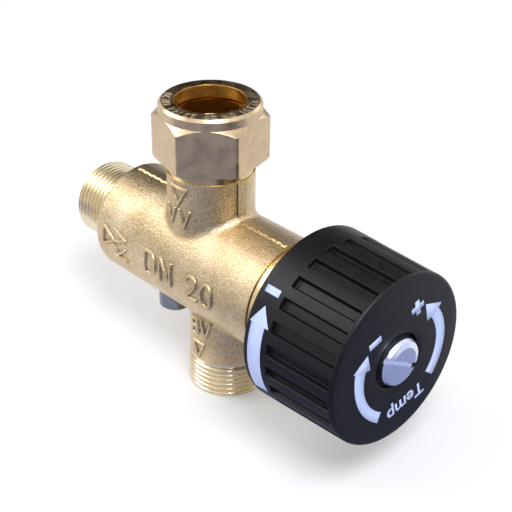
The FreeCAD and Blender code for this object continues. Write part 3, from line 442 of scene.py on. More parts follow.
def male_thread(name, length, tail, tail_radius, fade, pitch, place, finish_name):
    """A threaded sleeve around a port: crests at the port's radius, a chamfered mouth and a run-out.

    length is threaded from the mouth, and over tail the sleeve comes down to tail_radius. place puts a
    distance from the mouth, a radius and a turn into the valve's frame.
    """
    step, around = 0.055, 168
    mouth_chamfer, chamfer_slope = 0.95, 1.1
    steps = np.arange(0, length + tail + 0.03, step)
    steps[-1] = length + tail
    turns = np.linspace(0, 2 * math.pi, around, endpoint=False)
    along, turn = np.meshgrid(steps, turns, indexing="ij")
    middle = THREAD_R - 0.32 * pitch
    radius = middle + thread_height(along - pitch * turn / (2 * math.pi), pitch)
    if fade:
        share = smooth_step((along - (length + tail - fade)) / fade)
        radius = radius * (1 - share) + tail_radius * share
    radius = np.minimum(radius, THREAD_R - mouth_chamfer + along * chamfer_slope)
    if not fade:
        radius = np.minimum(radius, THREAD_R - np.clip(along - length, 0, None))
    # the sleeve's inner wall lies on the root, and its outer one stays a hair above it
    radius = np.maximum(radius, ROOT_R + 0.02)
    wall = np.full(around, ROOT_R)
    rows = [(np.full(around, steps[0]), wall)]
    rows += [(along[i], radius[i]) for i in range(len(steps))]
    rows += [(np.full(around, steps[-1]), wall)]
    points = np.concatenate([place(distance, size, turns) for distance, size in rows])
    faces = grid_faces(len(rows), around, close_rows=True, close_columns=True)
    outward(add_piece(name, points, faces, "body", finish_name))


# ---- Forged letters and arrows ----------------------------------------------------------------------

def arc(centre, radii, start, end, count=10):
    """Points along an ellipse's arc, between two directions in degrees."""
    turns = np.radians(np.linspace(start, end, count))
    return [(centre[0] + radii[0] * math.cos(t), centre[1] + radii[1] * math.sin(t)) for t in turns]


# each letter is a list of strokes in a box of its own, one unit high
LETTERS = {
    "V": (0.72, [[(0.0, 1.0), (0.36, 0.0), (0.72, 1.0)]]),
    "K": (0.68, [[(0.0, 0.0), (0.0, 1.0)], [(0.66, 1.0), (0.02, 0.42)], [(0.22, 0.6), (0.68, 0.0)]]),
    "B": (0.6, [[(0.0, 0.0), (0.0, 1.0), *arc((0.3, 0.76), (0.27, 0.24), 90, -90, 8), (0.0, 0.52)],
                [(0.0, 0.0), *arc((0.32, 0.26), (0.28, 0.26), -90, 90, 8), (0.0, 0.52)]]),
    "D": (0.64, [[(0.0, 0.0), (0.0, 1.0), *arc((0.24, 0.5), (0.4, 0.5), 90, -90, 14), (0.0, 0.0)]]),
    "N": (0.68, [[(0.0, 0.0), (0.0, 1.0), (0.66, 0.0), (0.66, 1.0)]]),
    "M": (0.8, [[(0.0, 0.0), (0.0, 1.0), (0.4, 0.25), (0.8, 1.0), (0.8, 0.0)]]),
    "2": (0.6, [[*arc((0.3, 0.7), (0.28, 0.3), 165, -30, 12), (0.0, 0.0), (0.6, 0.0)]]),
    "0": (0.6, [arc((0.3, 0.5), (0.3, 0.5), 0, 360, 25)]),
    " ": (0.3, []),
}


def lettering(words, height, gap):
    """The strokes of a line of capitals, centred on the origin."""
    strokes = []
    reach = 0.0
    for letter in words:
        width, shapes = LETTERS[letter]
        strokes += [[((x * height) + reach, y * height) for x, y in shape] for shape in shapes]
        reach += width * height + gap
    middle = (reach - gap) / 2
    return [[(x - middle, y - height / 2) for x, y in shape] for shape in strokes]


def moved(strokes, across, up, quarter_turns=0):
    """Strokes turned by quarter turns to the left and then moved."""
    turned = []
    for shape in strokes:
        points = shape
        for _ in range(quarter_turns):
            points = [(-y, x) for x, y in points]
        turned.append([(x + across, y + up) for x, y in points])
    return turned


def distance_to_strokes(across, up, strokes):
    """Distance from each point of a grid to the nearest stroke's middle line."""
    nearest = np.full(across.shape, 1e9)
    for shape in strokes:
        for (x0, y0), (x1, y1) in zip(shape, shape[1:]):
            dx, dy = x1 - x0, y1 - y0
            share = ((across - x0) * dx + (up - y0) * dy) / (dx * dx + dy * dy)
            share = np.clip(share, 0, 1)
            nearest = np.minimum(nearest, np.hypot(across - x0 - share * dx, up - y0 - share * dy))
    return nearest


def skin_of(name):
    """A CAD node's surface, to stand marks on."""
    mesh = frame["nodes"][name].data
    corners = [vertex.co for vertex in mesh.vertices]
    return BVHTree.FromPolygons(corners, [face.vertices for face in mesh.polygons])


def raised_marks(name, strokes, height, stroke, surface, look, body, finish_name, spacing=0.13):
    """Raised strokes that follow a surface. look gives, for a place, a point outside and the way in."""
    sunk = 0.03         # how far a mark's edge goes into the surface
    points = np.array([point for shape in strokes for point in shape])
    low, high = points.min(0) - stroke, points.max(0) + stroke
    across = np.linspace(low[0], high[0], int((high[0] - low[0]) / spacing) + 2)
    up = np.linspace(low[1], high[1], int((high[1] - low[1]) / spacing) + 2)
    grid_up, grid_across = np.meshgrid(up, across, indexing="ij")
    distance = distance_to_strokes(grid_across, grid_up, strokes)
    # a forging die draws its letters with sloping sides and a rounded top
    outside, slope = stroke * 0.62, stroke * 0.36
    lift = smooth_step((outside - distance) / slope) * (height + sunk) - sunk
    shown = distance < stroke * 0.75
    made = []
    for (u, v), rise in zip(zip(grid_across.ravel(), grid_up.ravel()), lift.ravel()):
        start, way = look(u, v)
        hit = surface.ray_cast(Vector(start) * MM, Vector(way))[0]
        if hit is None:
            raise RuntimeError(f"{name}: nothing to stand on at {u:.1f}, {v:.1f}")
        made.append(np.array(hit) / MM - np.array(way) * rise)
    keep = shown.ravel()
    faces = [f for f in grid_faces(len(up), len(across)) if keep[list(f)].any()]
    used = sorted({corner for f in faces for corner in f})
    number = {corner: i for i, corner in enumerate(used)}
    points = [made[corner] for corner in used]
    faces = [tuple(number[corner] for corner in f) for f in faces]
    add_piece(name, points, faces, body, finish_name)


def look_at_neck(axis_x, height):
    """Looks in at an upright neck from around it: across is measured along the skin from the front, -Y."""
    away = NECK_R + 8.0

    def look(across, up):
        turn = across / NECK_R
        way = (-math.sin(turn), math.cos(turn), 0.0)
        return (axis_x - way[0] * away, -way[1] * away, height + up), way
    return look


def look_at_barrel(station, turn_degrees):
    """Looks in at the barrel: across is along +X, and up is over the top, away from the front."""
    away = BARREL_R + 11.0

    def look(across, up):
        turn = math.radians(turn_degrees) - up / BARREL_R
        way = (0.0, math.sin(turn), -math.cos(turn))
        return (station + across, -way[1] * away, AXIS_Z - way[2] * away), way
    return look


# ---- The pieces, one operator each ------------------------------------------------------------------

class MIXVALVE_OT_forging(bpy.types.Operator):
    """Dress the brass body: blasted skin outside, machined ends, collar and bores"""
    bl_idname = "mixvalve.forging"
    bl_label = "Forged body"

    def execute(self, context):
        cad = frame["nodes"]["valve_body"]
        mesh = cad.data.copy()
        mesh.name = "valve_forging"
        count = len(mesh.vertices)
        normals = np.zeros(len(mesh.loops) * 3, np.float32)
        mesh.corner_normals.foreach_get("vector", normals)
        place = np.zeros(count * 3)
        mesh.vertices.foreach_get("co", place)
        place = place.reshape(-1, 3) / MM
        self.make_room_for_threads(place)
        mesh.vertices.foreach_set("co", (place * MM).ravel())
        mesh.materials.clear()
        for material in ("forged", "turned_x", "turned_z"):
            mesh.materials.append(FINISHES[material])
        middles = np.zeros(len(mesh.polygons) * 3)
        mesh.polygons.foreach_get("center", middles)
        mesh.polygons.foreach_set("material_index", self.machined(middles.reshape(-1, 3) / MM))
        mesh.polygons.foreach_set("use_smooth", [True] * len(mesh.polygons))
        mesh.normals_split_custom_set(normals.reshape(-1, 3).tolist())
        mesh.update()
        made = bpy.data.objects.new("valve_forging", mesh)
        context.scene.collection.objects.link(made)
        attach(made, "body")
        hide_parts("valve_body")
        return {"FINISHED"}

    @staticmethod
    def make_room_for_threads(place):
        """Takes the two ports' plain outer walls down to the thread's root."""
        x, y, z = place.T                           # views, which follow what is done to place
        outlet_neck, cold_neck = 12.9, 12.35        # just outside the plain necks behind the threads
        mouth_top = 1.5                             # below this height everything outside the root is mouth
        cold_thread_end = BARREL_START - 3.99
        around_outlet = np.hypot(x, y)
        outlet = (z < OUTLET_THREAD_TOP + 0.02) & (around_outlet > outlet_neck)
        outlet |= (z < mouth_top) & (around_outlet > ROOT_R)
        place[outlet, :2] *= (ROOT_R / around_outlet[outlet])[:, None]
        around_barrel = np.hypot(y, z - AXIS_Z)
        cold = (x < cold_thread_end) & (around_barrel > cold_neck) & (around_barrel < THREAD_R + 0.1)
        place[cold, 1] *= ROOT_R / around_barrel[cold]
        place[cold, 2] = AXIS_Z + (place[cold, 2] - AXIS_Z) * ROOT_R / around_barrel[cold]

    @staticmethod
    def machined(middles):
        """For each face, 0 for the forged skin, 1 where it is turned about X and 2 where about Z."""
        x, y, z = middles.T
        collar_start = BODY_HIGH.x - 8.25
        hot_thread_start = AXIS_Z + 32.3
        barrel_bore, hot_bore, outlet_bore = 18.3, 13.9, 12.3       # every bore is inside these radii
        above_barrel, below_barrel = AXIS_Z + 19.5, AXIS_Z - 19.2
        around_barrel = np.hypot(y, z - AXIS_Z)
        around_hot = np.hypot(x - HOT_X, y)
        around_outlet = np.hypot(x, y)
        chosen = np.zeros(len(middles), int)
        chosen[around_barrel < barrel_bore] = 1
        chosen[(x < BARREL_START) | (x > collar_start)] = 1
        chosen[(z > above_barrel) & (around_hot < hot_bore)] = 2
        chosen[(z > hot_thread_start) & (around_hot < NECK_R + 1)] = 2
        chosen[(z < below_barrel) & (around_outlet < outlet_bore)] = 2
        chosen[(z < OUTLET_THREAD_TOP + 0.1) & (around_outlet < NECK_R)] = 2
        return chosen


class MIXVALVE_OT_threads(bpy.types.Operator):
    """Cut the pipe threads of the cold inlet and of the mixed outlet"""
    bl_idname = "mixvalve.threads"
    bl_label = "Male threads"

    def execute(self, context):
        threads = context.scene.mixing_valve.threads
        pitch = threads.pitch / MM

        def at_outlet(distance, radius, turn):
            return np.stack([radius * np.cos(turn), radius * np.sin(turn), distance], -1)

        def at_cold_inlet(distance, radius, turn):
            return about_barrel(BODY_LOW.x + distance, radius, turn)
        male_thread("outlet_thread", length=11.0, tail=1.6, tail_radius=12.8, fade=threads.run_out / MM,
                    pitch=pitch, place=at_outlet, finish_name="thread_z")
        male_thread("cold_inlet_thread", length=14.0, tail=0.9, tail_radius=12.3, fade=0,
                    pitch=pitch, place=at_cold_inlet, finish_name="thread_x")
        return {"FINISHED"}


class MIXVALVE_OT_marks(bpy.types.Operator):
    """Raise the forged marks: an arrow and two letters at each port, and the pipe size on the barrel"""
    bl_idname = "mixvalve.marks"
    bl_label = "Forged marks"

    def execute(self, context):
        forging = context.scene.mixing_valve.forging
        height, stroke = forging.mark_height / MM, forging.mark_stroke / MM
        surface = skin_of("valve_body")
        # an arrow is a triangle on its point, 6.6 mm wide and 5.8 mm high
        arrow = [[(-3.3, 2.9), (3.3, 2.9), (0.0, -2.9), (-3.3, 2.9)]]
        small_arrow = [[(x * 0.8, y * 0.95) for x, y in arrow[0]]]
        pieces = [
            ("hot_inlet_arrow", moved(arrow, 0.4, 0), look_at_neck(HOT_X, 70.8)),
            ("hot_inlet_letters", lettering("VV", 5.6, 1.6), look_at_neck(HOT_X, 63.4)),
            ("outlet_letters", moved(lettering("BV", 5.6, 1.4), 0.6, 0), look_at_neck(0.0, 25.0)),
            ("outlet_arrow", moved(small_arrow, -0.5, 0), look_at_neck(0.0, 16.3)),
            ("cold_inlet_arrow", moved(arrow, 0, 0, 1), look_at_barrel(-38.4, 86.0)),
            ("cold_inlet_letters", moved(lettering("KV", 6.4, 1.2), 0, 0, 1), look_at_barrel(-33.0, 89.0)),
            ("pipe_size_letters", lettering("DN 20", 7.8, 2.5), look_at_barrel(-3.3, 88.0)),
        ]
        for name, strokes, look in pieces:
            raised_marks(name, strokes, height, stroke, surface, look, "body", "forged")
        beside_neck = 16.6      # the flash stops at the hot neck's foot
        self.trimmed_flash("cold_side_flash", -43.0, HOT_X - beside_neck, surface)
        self.trimmed_flash("knob_side_flash", HOT_X + beside_neck, 27.6, surface)
        return {"FINISHED"}


    @staticmethod
    def trimmed_flash(name, start, end, surface):
        """The torn edge that the trimming die leaves along the flash land on top of the barrel."""
        stations = np.arange(start, end, 0.45)
        wander = 0.16 * np.sin(stations * 2.1) + 0.12 * np.sin(stations * 5.3 + 1.0)
        torn = [list(zip(stations, wander))]
        land_edge = math.degrees(1.55 / BARREL_R)
        raised_marks(name, torn, 0.16, 0.5, surface, look_at_barrel(0.0, land_edge), "body",
                     "turned_x", spacing=0.12)


class MIXVALVE_OT_nut(bpy.types.Operator):
    """Finish the compression nut and raise the pipe size on its top face"""
    bl_idname = "mixvalve.nut"
    bl_label = "Compression nut"

    def execute(self, context):
        give_finish("compression_nut", "nut")
        top = skin_of("compression_nut")
        line_radius, line_middle = 13.6, math.radians(-60)

        def look(across, up):
            """The words run around the top face, read from outside."""
            turn = line_middle - across / line_radius
            reach = line_radius + up
            start = (HOT_X + reach * math.cos(turn), reach * math.sin(turn), NUT_HIGH.z + 5)
            return start, (0.0, 0.0, -1.0)
        strokes = lettering("22 MM  DN 20  22 MM  DN 20  ", 2.3, 0.6)
        raised_marks("nut_size_letters", strokes, 0.16, 0.45, top, look, "body", "nut",
                     spacing=0.11)
        return {"FINISHED"}


class MIXVALVE_OT_knob(bpy.types.Operator):
    """Mould the temperature knob: tapered skirt with closed grip grooves, front face, recess and hub"""
    bl_idname = "mixvalve.knob"
    bl_label = "Temperature knob"

    def execute(self, context):
        knob = context.scene.mixing_valve.knob
        depth, wall = knob.groove_depth / MM, knob.groove_wall / MM
        grooves, first_groove = 24, math.radians(7.0)
        groove_half, groove_corner = 1.95, 0.5      # half a groove's width, and its corners' radius
        groove_start, groove_end = KNOB_LOW.x + 8.8, KNOB_HIGH.x - 1.2
        # columns around a groove, by their distance along the skin from its middle
        across = [0.0, 0.75, 1.2, 1.4, 1.5, 1.6, 1.7, 1.8, 1.9, 1.98, 2.1, 2.5, 3.1]
        skin_radius = 28.0
        pitch = 2 * math.pi / grooves
        offsets = sorted({side * a / skin_radius for a in across for side in (-1, 1)} | {pitch / 2})
        turns = np.array([first_groove + pitch * k + offset for k in range(grooves) for offset in offsets])
        from_groove = np.array([abs(offset) * skin_radius for _ in range(grooves) for offset in offsets])
        groove_middle, groove_reach = (groove_start + groove_end) / 2, (groove_end - groove_start) / 2
        rows = []
        for station, radius, grooved in self.outline(groove_start, groove_end):
            size = np.full(len(turns), float(radius))
            if grooved:
                # distance to the outline of a groove with rounded corners, negative inside it
                out_x = abs(station - groove_middle) - (groove_reach - groove_corner)
                out_s = from_groove - (groove_half - groove_corner)
                edge = (np.hypot(np.clip(out_x, 0, None), np.clip(out_s, 0, None))
                        + np.minimum(np.maximum(out_x, out_s), 0) - groove_corner)
                size -= depth * smooth_step(-edge / wall)
            rows.append(about_barrel(station, size, turns))
        faces = grid_faces(len(rows), len(turns), close_rows=True, close_columns=True)
        made = add_piece("knob_moulding", np.concatenate(rows), faces, "adjusting_knob",
                         "plastic")
        outward(made)
        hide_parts("temperature_knob")
        self.stop_rib()
        return {"FINISHED"}

    @staticmethod
    def outline(groove_start, groove_end):
        """The knob's section, all the way round: (station, radius, whether the grooves cut it there)."""
        rear, front = KNOB_LOW.x, KNOB_HIGH.x
        rear_edge, front_edge = 0.4, 1.2            # radii of the skirt's two rounded edges
        near = [0.0, 0.1, 0.2, 0.3, 0.4, 0.55, 0.8, 1.3]
        skirt = [rear + rear_edge, rear + 2.5, rear + 5.0, rear + 7.5]
        skirt += [groove_start - 0.25, groove_start - 0.1, *[groove_start + n for n in near]]
        skirt += [*np.linspace(groove_start + 3, groove_end - 3, 7)]
        skirt += [groove_end - n for n in reversed(near)]
        taper = -FRONT_TAPER / (front - rear)
        edge_middle = KNOB_R - 0.42
        section = [(rear, 24.4, 0), (rear, edge_middle, 0)]
        section += [(rear + rear_edge - rear_edge * math.cos(a), edge_middle + rear_edge * math.sin(a), 0)
                    for a in np.radians([20, 45, 70])]
        section += [(x, KNOB_R + taper * (x - rear), 1) for x in skirt]
        edge_radius = KNOB_R + taper * (front - front_edge - rear)
        section += [(front - front_edge + front_edge * math.sin(a),
                     edge_radius - front_edge + front_edge * math.cos(a), 0)
                    for a in np.radians([10, 20, 32, 45, 58, 70, 80, 90])]
        # the front face, with more rows than it needs so that its shading stays even
        section += [(front, r, 0) for r in (24.0, 20.0, 16.0, 12.0, 9.35)]
        # the screw's recess, by depth below the front face, and the hole in its floor
        recess = [(0.08, 9.05), (0.3, 8.9), (1.2, 8.9), (2.1, 8.9), (2.25, 8.8), (2.3, 8.5), (2.3, 6.0),
                  (2.3, 4.2), (4.0, 4.2)]
        section += [(front - depth, r, 0) for depth, r in recess]
        # the hub that sits on the spindle, the inside of the front and the inside of the skirt
        section += [(61.7, 4.2, 0), (61.6, 6.6, 0), (61.6, 10.9, 0), (61.9, 11.0, 0), (front - 3.6, 11.0, 0),
                    (front - 3.5, 11.2, 0), (front - 3.5, 23.3, 0), (front - 3.9, 23.64, 0), (60.0, 23.64, 0),
                    (48.0, 23.64, 0), (rear + 0.3, 23.64, 0), (rear, 23.9, 0)]
        return section

    @staticmethod
    def stop_rib():
        """The rib inside the skirt that meets the bonnet's stop, with drafted sides."""
        points = []
        for station, half in ((KNOB_LOW.x + 6.0, 1.85), (KNOB_HIGH.x - 3.4, 2.0)):
            for y, z in ((-half, 24.2), (-half + 0.25, 15.0), (-half + 0.6, 14.5), (half - 0.6, 14.5),
                         (half - 0.25, 15.0), (half, 24.2)):
                points.append((station, y, AXIS_Z - z))
        faces = grid_faces(2, 6, close_columns=True) + [tuple(range(5, -1, -1)), tuple(range(6, 12))]
        outward(add_piece("knob_stop_rib", points, faces, "adjusting_knob", "plastic"))


def printed(name, top, faces, sink):
    """A thin layer of ink: its top, and an edge that sinks into the plastic."""
    shape = bmesh.new()
    corners = [shape.verts.new(point) for point in top]
    for face in faces:
        shape.faces.new([corners[i] for i in face])
    bmesh.ops.remove_doubles(shape, verts=shape.verts, dist=1e-4)
    border = [edge for edge in shape.edges if edge.is_boundary]
    grown = bmesh.ops.extrude_edge_only(shape, edges=border)
    for vert in grown["geom"]:
        if isinstance(vert, bmesh.types.BMVert):
            vert.co = sink(vert.co)
    bmesh.ops.recalc_face_normals(shape, faces=shape.faces)
    # extruding leaves no fixed order, so the corners and faces are put in one
    placed = sorted(shape.verts, key=lambda vert: tuple(vert.co))
    number = {vert: i for i, vert in enumerate(placed)}
    points = [tuple(vert.co) for vert in placed]
    found = sorted(tuple(number[vert] for vert in face.verts) for face in shape.faces)
    shape.free()
    add_piece(name, points, found, "adjusting_knob", "ink")


class MIXVALVE_OT_printing(bpy.types.Operator):
    """Print the arrows, the plus and minus signs and the word Temp on the knob"""
    bl_idname = "mixvalve.printing"
    bl_label = "Knob printing"

    thickness, sunk = 0.04, 0.03        # of the ink, above and below the plastic's surface

    def execute(self, context):
        self.front_arrow("front_arrow_warmer", base=(-56.2, 14.8, 21.9), tip=(-37.0, 18.1),
                         shaft=[(-127.6, 17.4, 21.4), (-92.0, 17.35, 21.2), (-57.5, 16.5, 20.1)])
        self.front_arrow("front_arrow_cooler", base=(77.4, 12.0, 19.1), tip=(58.4, 15.5),
                         shaft=[(160.0, 16.5, 20.1), (119.0, 14.8, 18.1), (78.5, 13.9, 18.3)])
        self.front_bar("front_minus", (-10.3, 10.9), 5.0, 2.1, 17)
        self.front_bar("front_plus", (7.3, 15.0), 5.2, 1.8, 15, cross=True)
        self.front_word("front_word", "Temp")
        self.side_print()
        return {"FINISHED"}

    def on_front(self, across, up):
        return (KNOB_HIGH.x + self.thickness, across, AXIS_Z + up)

    def below_front(self, point):
        return Vector((KNOB_HIGH.x - self.sunk, point.y, point.z))

    def at(self, turn, radius):
        turn = math.radians(turn)
        return self.on_front(-radius * math.sin(turn), radius * math.cos(turn))

    def front_arrow(self, name, shaft, base, tip):
        """A curved arrow: (turn, inner, outer) at its tail, middle and neck, its head's base and its tip."""
        turns, inners, outers = np.array(shaft).T
        fine = np.linspace(turns[0], turns[-1], 40)
        inner = np.polyval(np.polyfit(turns, inners, 2), fine)
        outer = np.polyval(np.polyfit(turns, outers, 2), fine)
        points = [self.at(turn, i) for turn, i in zip(fine, inner)]
        points += [self.at(turn, o) for turn, o in zip(fine, outer)]
        count = len(fine)
        faces = [(k, k + 1, count + k + 1, count + k) for k in range(count - 1)]
        points += [self.at(base[0], base[1]), self.at(base[0], base[2]), self.at(*tip)]
        head = 2 * count
        faces.append((count - 1, head, head + 2, head + 1, 2 * count - 1))
        printed(name, points, faces, self.below_front)

    def front_bar(self, name, centre, length, width, turn, cross=False):
        """A minus sign, or with cross a plus sign, turned by some degrees."""
        (y, z), t = centre, math.radians(turn)
        h, w = length / 2, width / 2
        if cross:
            flat = [(-h, -w), (-w, -w), (-w, -h), (w, -h), (w, -w), (h, -w), (h, w), (w, w), (w, h), (-w, h),
                    (-w, w), (-h, w)]
        else:
            flat = [(-h, -w), (h, -w), (h, w), (-h, w)]
        points = [self.on_front(y + u * math.cos(t) - v * math.sin(t), z + u * math.sin(t) + v * math.cos(t))
                  for u, v in flat]
        printed(name, points, [tuple(range(len(points)))], self.below_front)

    def front_word(self, name, word):
        """A straight word, read with the knob upside down and turned by 15 degrees."""
        text = bpy.data.curves.new(name, "FONT")
        text.body = word
        text.size = 6.9
        text.offset = 0.11
        text.resolution_u = 6
        holder = bpy.data.objects.new(name + "_outline", text)
        bpy.context.scene.collection.objects.link(holder)
        bpy.context.view_layer.update()
        flat = bpy.data.meshes.new_from_object(holder.evaluated_get(bpy.context.evaluated_depsgraph_get()))
        start_y, start_z, shift = 10.85, -13.5, 1.9
        t = math.radians(180 + 15)
        points = [self.on_front(start_y + (v.co.x - shift) * math.cos(t) - v.co.y * math.sin(t),
                                start_z + (v.co.x - shift) * math.sin(t) + v.co.y * math.cos(t))
                  for v in flat.vertices]
        faces = [tuple(face.vertices) for face in flat.polygons]
        bpy.data.objects.remove(holder)
        bpy.data.meshes.remove(flat)
        bpy.data.curves.remove(text)
        printed(name, points, faces, self.below_front)

    def side_print(self):
        """The minus sign and the long arrow around the skirt's rear band."""
        def on_skirt(station, turn):
            radius = KNOB_R - FRONT_TAPER * (station - KNOB_LOW.x) / (KNOB_HIGH.x - KNOB_LOW.x)
            return tuple(about_barrel(station, radius + self.thickness, math.radians(turn)))

        def below_skirt(point):
            flat = Vector((0, point.y, point.z - AXIS_Z))
            flat.length -= self.thickness + self.sunk
            return Vector((point.x, flat.y, flat.z + AXIS_Z))
        # (turn in degrees, rear and front station) along each shape
        bands = {
            "side_minus": [(46.0, 39.5, 44.8), (50.5, 39.5, 44.8)],
            "side_arrow": [(58.0, 42.0, 42.1), (69.9, 38.5, 45.9), (70.0, 39.3, 44.4), (119, 39.3, 44.4)],
        }
        for name, band in bands.items():
            knots, rears, fronts = zip(*band)
            turns = sorted(set(np.arange(knots[0], knots[-1], 1.0)) | set(knots))
            edges = zip(turns, np.interp(turns, knots, rears), np.interp(turns, knots, fronts))
            points = [on_skirt(station, turn) for turn, rear, front in edges
                      for station in np.linspace(rear, front, 4)]
            printed(name, points, grid_faces(len(turns), 4), below_skirt)


# which CAD nodes, shown as they are, take which finish
SHOWN_NODES = {
    "turned_x": ("cold_seat_bush", "hot_seat_ring", "valve_shuttle", "cold_valve_disc", "cold_valve_nut",
                 "overtravel_cup", "overtravel_plunger", "bonnet", "spindle"),
    "spring": ("check_valve_spring", "check_valve_clip", "return_spring", "element_piston",
               "overtravel_spring", "overtravel_clip"),
    "rubber": ("check_valve_o_ring", "check_valve_seal", "cold_seat_o_ring", "shuttle_o_ring",
               "cold_valve_washer", "bonnet_o_ring", "inner_spindle_o_ring", "outer_spindle_o_ring"),
    "acetal": ("check_valve_housing", "check_valve_guide", "check_valve_poppet"),
    "copper": ("wax_element",),
    "fibre": ("test_plug_gasket",),
    "olive": ("compression_olive",),
    "nickel": ("test_plug",),
    "zinc": ("knob_screw",),
}


def give_finish(name, finish_name):
    """Puts a finish on a CAD node that is shown as it is."""
    for holder in frame["nodes"][name].material_slots:
        holder.material = FINISHES[finish_name]


class MIXVALVE_OT_small_pieces(bpy.types.Operator):
    """Give the screw, plug, olive, bonnet and every inner piece its own finish"""
    bl_idname = "mixvalve.small_pieces"
    bl_label = "Small and inner pieces"

    def execute(self, context):
        for finish_name, nodes in SHOWN_NODES.items():
            for name in nodes:
                give_finish(name, finish_name)
        return {"FINISHED"}


class MIXVALVE_OT_finishes(bpy.types.Operator):
    """Mix the metals, plastics, rubber and ink that the pieces share"""
    bl_idname = "mixvalve.finishes"
    bl_label = "Finishes"

    def execute(self, context):
        mix_finishes(context.scene.mixing_valve)
        return {"FINISHED"}


class MIXVALVE_OT_stage(bpy.types.Operator):
    """Set the floor, the soft lights, the white surroundings and the camera"""
    bl_idname = "mixvalve.stage"
    bl_label = "Stage"

    def execute(self, context):
        stage = context.scene.mixing_valve.stage
        self.floor(stage)
        self.surroundings(context.scene)
        middle = Vector((0.005, 0.0, 0.045))
        self.light("key_light", (-0.46, -0.33, 0.54), middle, 0.42, stage.key_power, "#F6F3F4")
        self.light("front_light", (0.38, -0.2, 0.62), middle, 0.3, stage.front_power, "#F4F6FF")
        self.light("rim_light", (-0.1, 0.5, 0.4), middle, 0.4, stage.rim_power, "#FFFFFF")
        # dark cards shape the brass: they are seen in its reflections alone
        above = Vector((0.118, -0.11, 0.4))
        self.card("low_front_card", (0.128, -0.12, 0.008), above, (0.56, 0.3), "#9CA2C0")
        self.card("high_back_card", (-0.31, 0.29, 0.35), middle, (0.7, 0.6), "#100E0B")
        self.card("front_card", (0.42, -0.36, 0.16), middle, (0.5, 0.3), "#2A2A30")
        self.camera(context.scene)
        context.scene.view_settings.view_transform = "Standard"
        return {"FINISHED"}

    @staticmethod
    def seen_directly(tree):
        """1 for what is looked at, straight or by way of metal and glass, and 0 for all other light."""
        path = node(tree, "ShaderNodeLightPath")
        seen = path.outputs["Is Camera Ray"]
        for ray in ("Is Glossy Ray", "Is Transmission Ray"):
            either = node(tree, "ShaderNodeMath", {0: seen, 1: path.outputs[ray]}, operation="MAXIMUM")
            seen = either.outputs[0]
        return seen

    def floor(self, stage):
        material = bpy.data.materials.new("matt_floor_paint")
        material.use_nodes = True
        tree = material.node_tree
        tree.nodes.clear()
        paint = node(tree, "ShaderNodeBsdfDiffuse", {"Color": tuple(stage.floor_colour)})
        seen = self.seen_directly(tree)
        # a little glow lifts the paint near the valve without washing its shadow out
        lift = node(tree, "ShaderNodeMath", {0: seen, 1: 0.2}, operation="MULTIPLY")
        glow = node(tree, "ShaderNodeEmission", {"Strength": lift.outputs[0]})
        near = node(tree, "ShaderNodeAddShader", {0: paint.outputs[0], 1: glow.outputs[0]})
        # away from the valve the floor runs out into the white of the studio
        place = node(tree, "ShaderNodeTexCoord").outputs["Object"]
        reach_out = node(tree, "ShaderNodeVectorMath", {0: place}, operation="LENGTH")
        paint_end, white_start = 0.13, 0.36
        away = node(tree, "ShaderNodeMapRange", {"Value": reach_out.outputs["Value"], "From Min": paint_end,
                                                 "From Max": white_start}, interpolation_type="SMOOTHSTEP")
        far = node(tree, "ShaderNodeMath", {0: away.outputs[0], 1: seen}, operation="MULTIPLY")
        white = node(tree, "ShaderNodeEmission", {"Strength": 1.0})
        both = node(tree, "ShaderNodeMixShader", {0: far.outputs[0], 1: near.outputs[0],
                                                  2: white.outputs[0]})
        node(tree, "ShaderNodeOutputMaterial", {"Surface": both.outputs[0]})
        mesh = bpy.data.meshes.new("floor")
        reach, low = 3.0, -0.00005      # a hair below the valve, so that the two never share a plane
        corners = [(-reach, -reach, low), (reach, -reach, low), (reach, reach, low), (-reach, reach, low)]
        mesh.from_pydata(corners, [], [(0, 1, 2, 3)])
        mesh.materials.append(material)
        floor = bpy.data.objects.new("floor", mesh)
        bpy.context.scene.collection.objects.link(floor)

    def surroundings(self, scene):
        world = bpy.data.worlds.new("studio")
        world.use_nodes = True
        tree = world.node_tree
        tree.nodes.clear()
        seen = self.seen_directly(tree)
        strength = node(tree, "ShaderNodeMapRange", {"Value": seen, "To Min": 0.5, "To Max": 1.0})
        paper = node(tree, "ShaderNodeBackground", {"Color": linear("#FFFFFF"),
                                                    "Strength": strength.outputs[0]})
        node(tree, "ShaderNodeOutputWorld", {"Surface": paper.outputs[0]})
        scene.world = world

    @staticmethod
    def light(name, place, target, size, power, colour):
        """A round soft light that looks at target. size is its diameter in metres."""
        lamp = bpy.data.lights.new(name, "AREA")
        lamp.shape = "DISK"
        lamp.size = size
        lamp.energy = power
        lamp.color = linear(colour)[:3]
        holder = bpy.data.objects.new(name, lamp)
        bpy.context.scene.collection.objects.link(holder)
        holder.location = place
        holder.rotation_euler = (Vector(place) - target).to_track_quat("Z", "Y").to_euler()

    @staticmethod
    def card(name, place, target, size, colour):
        """A studio card that faces target and shows in reflections alone. size is its width and height."""
        material = bpy.data.materials.new(name)
        material.use_nodes = True
        tree = material.node_tree
        tree.nodes.clear()
        cloth = node(tree, "ShaderNodeEmission", {"Color": linear(colour)})
        node(tree, "ShaderNodeOutputMaterial", {"Surface": cloth.outputs[0]})
        mesh = bpy.data.meshes.new(name)
        wide, high = size[0] / 2, size[1] / 2
        mesh.from_pydata([(-wide, -high, 0), (wide, -high, 0), (wide, high, 0), (-wide, high, 0)], [],
                         [(0, 1, 2, 3)])
        mesh.materials.append(material)
        card = bpy.data.objects.new(name, mesh)
        bpy.context.scene.collection.objects.link(card)
        card.location = place
        card.rotation_euler = (target - Vector(place)).to_track_quat("Z", "Y").to_euler()
        card.visible_camera = False
        card.visible_diffuse = False
        card.visible_shadow = False
        card.visible_transmission = False

